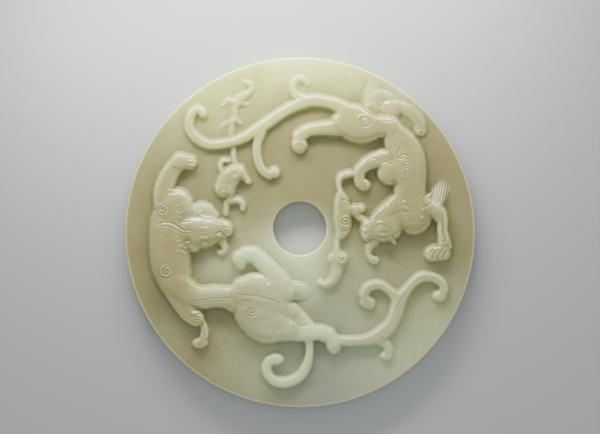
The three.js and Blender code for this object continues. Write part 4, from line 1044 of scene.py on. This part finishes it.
def jade_material(name, settings, groups, carved):
    """Pale nephrite: clouded, stained in places, translucent, and polished where it is handled; with
    painted light near the top, and painted shade and painted highlights on the carved face.
    """
    clouding, zone, polish = groups
    material = bpy.data.materials.new(name)
    material.use_nodes = True
    tree = material.node_tree
    shader = tree.nodes["Principled BSDF"]
    place = tree.nodes.new("ShaderNodeTexCoord").outputs["Object"]

    drift = group_node(tree, clouding, Place=place, Cloud_scale=26.0, Fleck_strength=0.2)
    colour = mix_node(tree, drift.outputs["Cloud"], settings.warm, settings.pale)
    for patches, height in ((GROUND_PATCHES, GROUND_HEIGHT), (STAIN_PATCHES, STAIN_HEIGHT)):
        colour = paint_patches(tree, place, zone, colour, settings, patches, height)
    if carved:
        colour, roughness = carved_finish(tree, place, zone, colour, settings)
    else:
        roughness = ramp_node(tree, noise_node(tree, place, 60.0), 0.3, 0.7, *PLAIN_POLISH)
    colour = mix_node(tree, 1.0, colour, drift.outputs["Fleck"], "MULTIPLY")
    tree.links.new(colour, shader.inputs["Base Color"])
    tree.links.new(roughness, shader.inputs["Roughness"])

    bump = tree.nodes.new("ShaderNodeBump")
    bump.inputs["Strength"].default_value = CARVED_BUMP if carved else PLAIN_BUMP
    bump.inputs["Distance"].default_value = BUMP_DEPTH
    tree.links.new(group_node(tree, polish, Place=place).outputs["Height"], bump.inputs["Height"])
    tree.links.new(bump.outputs["Normal"], shader.inputs["Normal"])
    shader.inputs["Subsurface Weight"].default_value = 0.85
    shader.inputs["Subsurface Radius"].default_value = (1.0, 0.95, 0.6)
    shader.inputs["Subsurface Scale"].default_value = 0.006
    shader.inputs["IOR"].default_value = 1.6
    shader.inputs["Coat Weight"].default_value = 0.25
    shader.inputs["Coat Roughness"].default_value = 0.12
    return material


def paint_stone(piece, settings):
    """The carved face and the plain rim and back, as two finishes of one stone."""
    groups = (clouding_group(), tint_and_light_zone_group(), polish_group())
    piece.data.materials.append(jade_material("carved_jade", settings, groups, True))
    piece.data.materials.append(jade_material("plain_jade", settings, groups, False))
    edge = SLAB - settings.rim_rounding / 2
    for face in piece.data.polygons:
        face.use_smooth = True
        face.material_index = 0 if face.center.z > edge else 1


def settle_normals(piece):
    """Shades broad faces flat and lets the small ones beside them carry the turn."""
    piece.data.set_sharp_from_angle(angle=SHARP_ANGLE)
    modifier = piece.modifiers.new("normals", "WEIGHTED_NORMAL")
    modifier.mode = "FACE_AREA"
    modifier.weight = BROAD_FACE_WEIGHT
    modifier.keep_sharp = True
    apply_modifier(piece, modifier)


class DISC_OT_carve(bpy.types.Operator):
    """Carves the jade disc and gives it its stone"""
    bl_idname = "disc.carve"
    bl_label = "Carve the disc"

    def execute(self, context):
        settings = context.scene.jade_disc
        relief = cut_relief(settings.cell / MM)
        mesh = build_mesh(relief, settings)
        piece = bpy.data.objects.new(settings.piece_name, mesh)
        context.scene.collection.objects.link(piece)
        thin_out(piece, settings)
        mark_surface(piece.data, relief)
        paint_stone(piece, settings)
        settle_normals(piece)
        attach(piece, "root")
        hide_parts(NODE)
        return {"FINISHED"}


class DISC_OT_studio(bpy.types.Operator):
    """Lays the floor and sets the lights and the camera"""
    bl_idname = "disc.studio"
    bl_label = "Set the studio"

    def execute(self, context):
        settings = context.scene.jade_studio
        lay_floor(context, settings)
        add_light(context, "key", *KEY_LIGHT, settings.key_power)
        add_light(context, "fill", *FILL_LIGHT, settings.fill_power)
        camera = bpy.data.cameras.new("camera")
        camera.sensor_width = SENSOR_WIDTH
        camera.lens = SENSOR_WIDTH * settings.camera_distance / settings.view_width
        eye = bpy.data.objects.new("camera", camera)
        eye.location = (0, settings.view_y, SLAB + settings.camera_distance)
        context.scene.collection.objects.link(eye)
        context.scene.camera = eye
        world = bpy.data.worlds.new("studio")
        world.use_nodes = True
        world.node_tree.nodes["Background"].inputs["Color"].default_value = SKY_COLOUR
        world.node_tree.nodes["Background"].inputs["Strength"].default_value = SKY_STRENGTH
        context.scene.world = world
        return {"FINISHED"}


def lay_floor(context, settings):
    """A plain, pale sheet of paper that the disc lies on."""
    mesh = bpy.data.meshes.new("floor")
    corners = [(x * FLOOR_REACH, y * FLOOR_REACH, 0) for x, y in ((-1, -1), (1, -1), (1, 1), (-1, 1))]
    mesh.from_pydata(corners, [], [(0, 1, 2, 3)])
    floor = bpy.data.objects.new("floor", mesh)
    floor.location.z = -FLOOR_DROP
    context.scene.collection.objects.link(floor)
    paper = bpy.data.materials.new("studio_paper")
    paper.use_nodes = True
    shader = paper.node_tree.nodes["Principled BSDF"]
    shader.inputs["Base Color"].default_value = (*settings.floor_colour, 1)
    shader.inputs["Roughness"].default_value = 0.9
    mesh.materials.append(paper)


def add_light(context, name, place, aim, size, spread, power):
    """A soft lamp at a place, turned to its aim."""
    lamp = bpy.data.lights.new(name, "AREA")
    lamp.spread = math.radians(spread)
    lamp.shape = "RECTANGLE"
    lamp.size, lamp.size_y = size
    lamp.energy = power
    light = bpy.data.objects.new(name, lamp)
    light.location = place
    light.rotation_euler = (Vector(aim) - Vector(place)).to_track_quat("-Z", "Y").to_euler()
    context.scene.collection.objects.link(light)


class DISC_PT_panel(bpy.types.Panel):
    bl_label = "Jade disc"
    bl_idname = "DISC_PT_panel"
    bl_space_type = "VIEW_3D"
    bl_region_type = "UI"
    bl_category = "Jade disc"

    def draw(self, context):
        for settings in (context.scene.jade_disc, context.scene.jade_studio):
            for name in settings.__annotations__:
                self.layout.prop(settings, name)
        self.layout.operator(DISC_OT_carve.bl_idname)
        self.layout.operator(DISC_OT_studio.bl_idname)


CLASSES = (JadeDiscSettings, StudioSettings, DISC_OT_carve, DISC_OT_studio, DISC_PT_panel)


def register():
    for cls in CLASSES:
        bpy.utils.register_class(cls)
    bpy.types.Scene.jade_disc = bpy.props.PointerProperty(type=JadeDiscSettings)
    bpy.types.Scene.jade_studio = bpy.props.PointerProperty(type=StudioSettings)


def unregister():
    del bpy.types.Scene.jade_disc
    del bpy.types.Scene.jade_studio
    for cls in reversed(CLASSES):
        bpy.utils.unregister_class(cls)


def main():
    register()
    bpy.ops.disc.studio()
    bpy.ops.disc.carve()


if __name__ == "__main__":
    main()
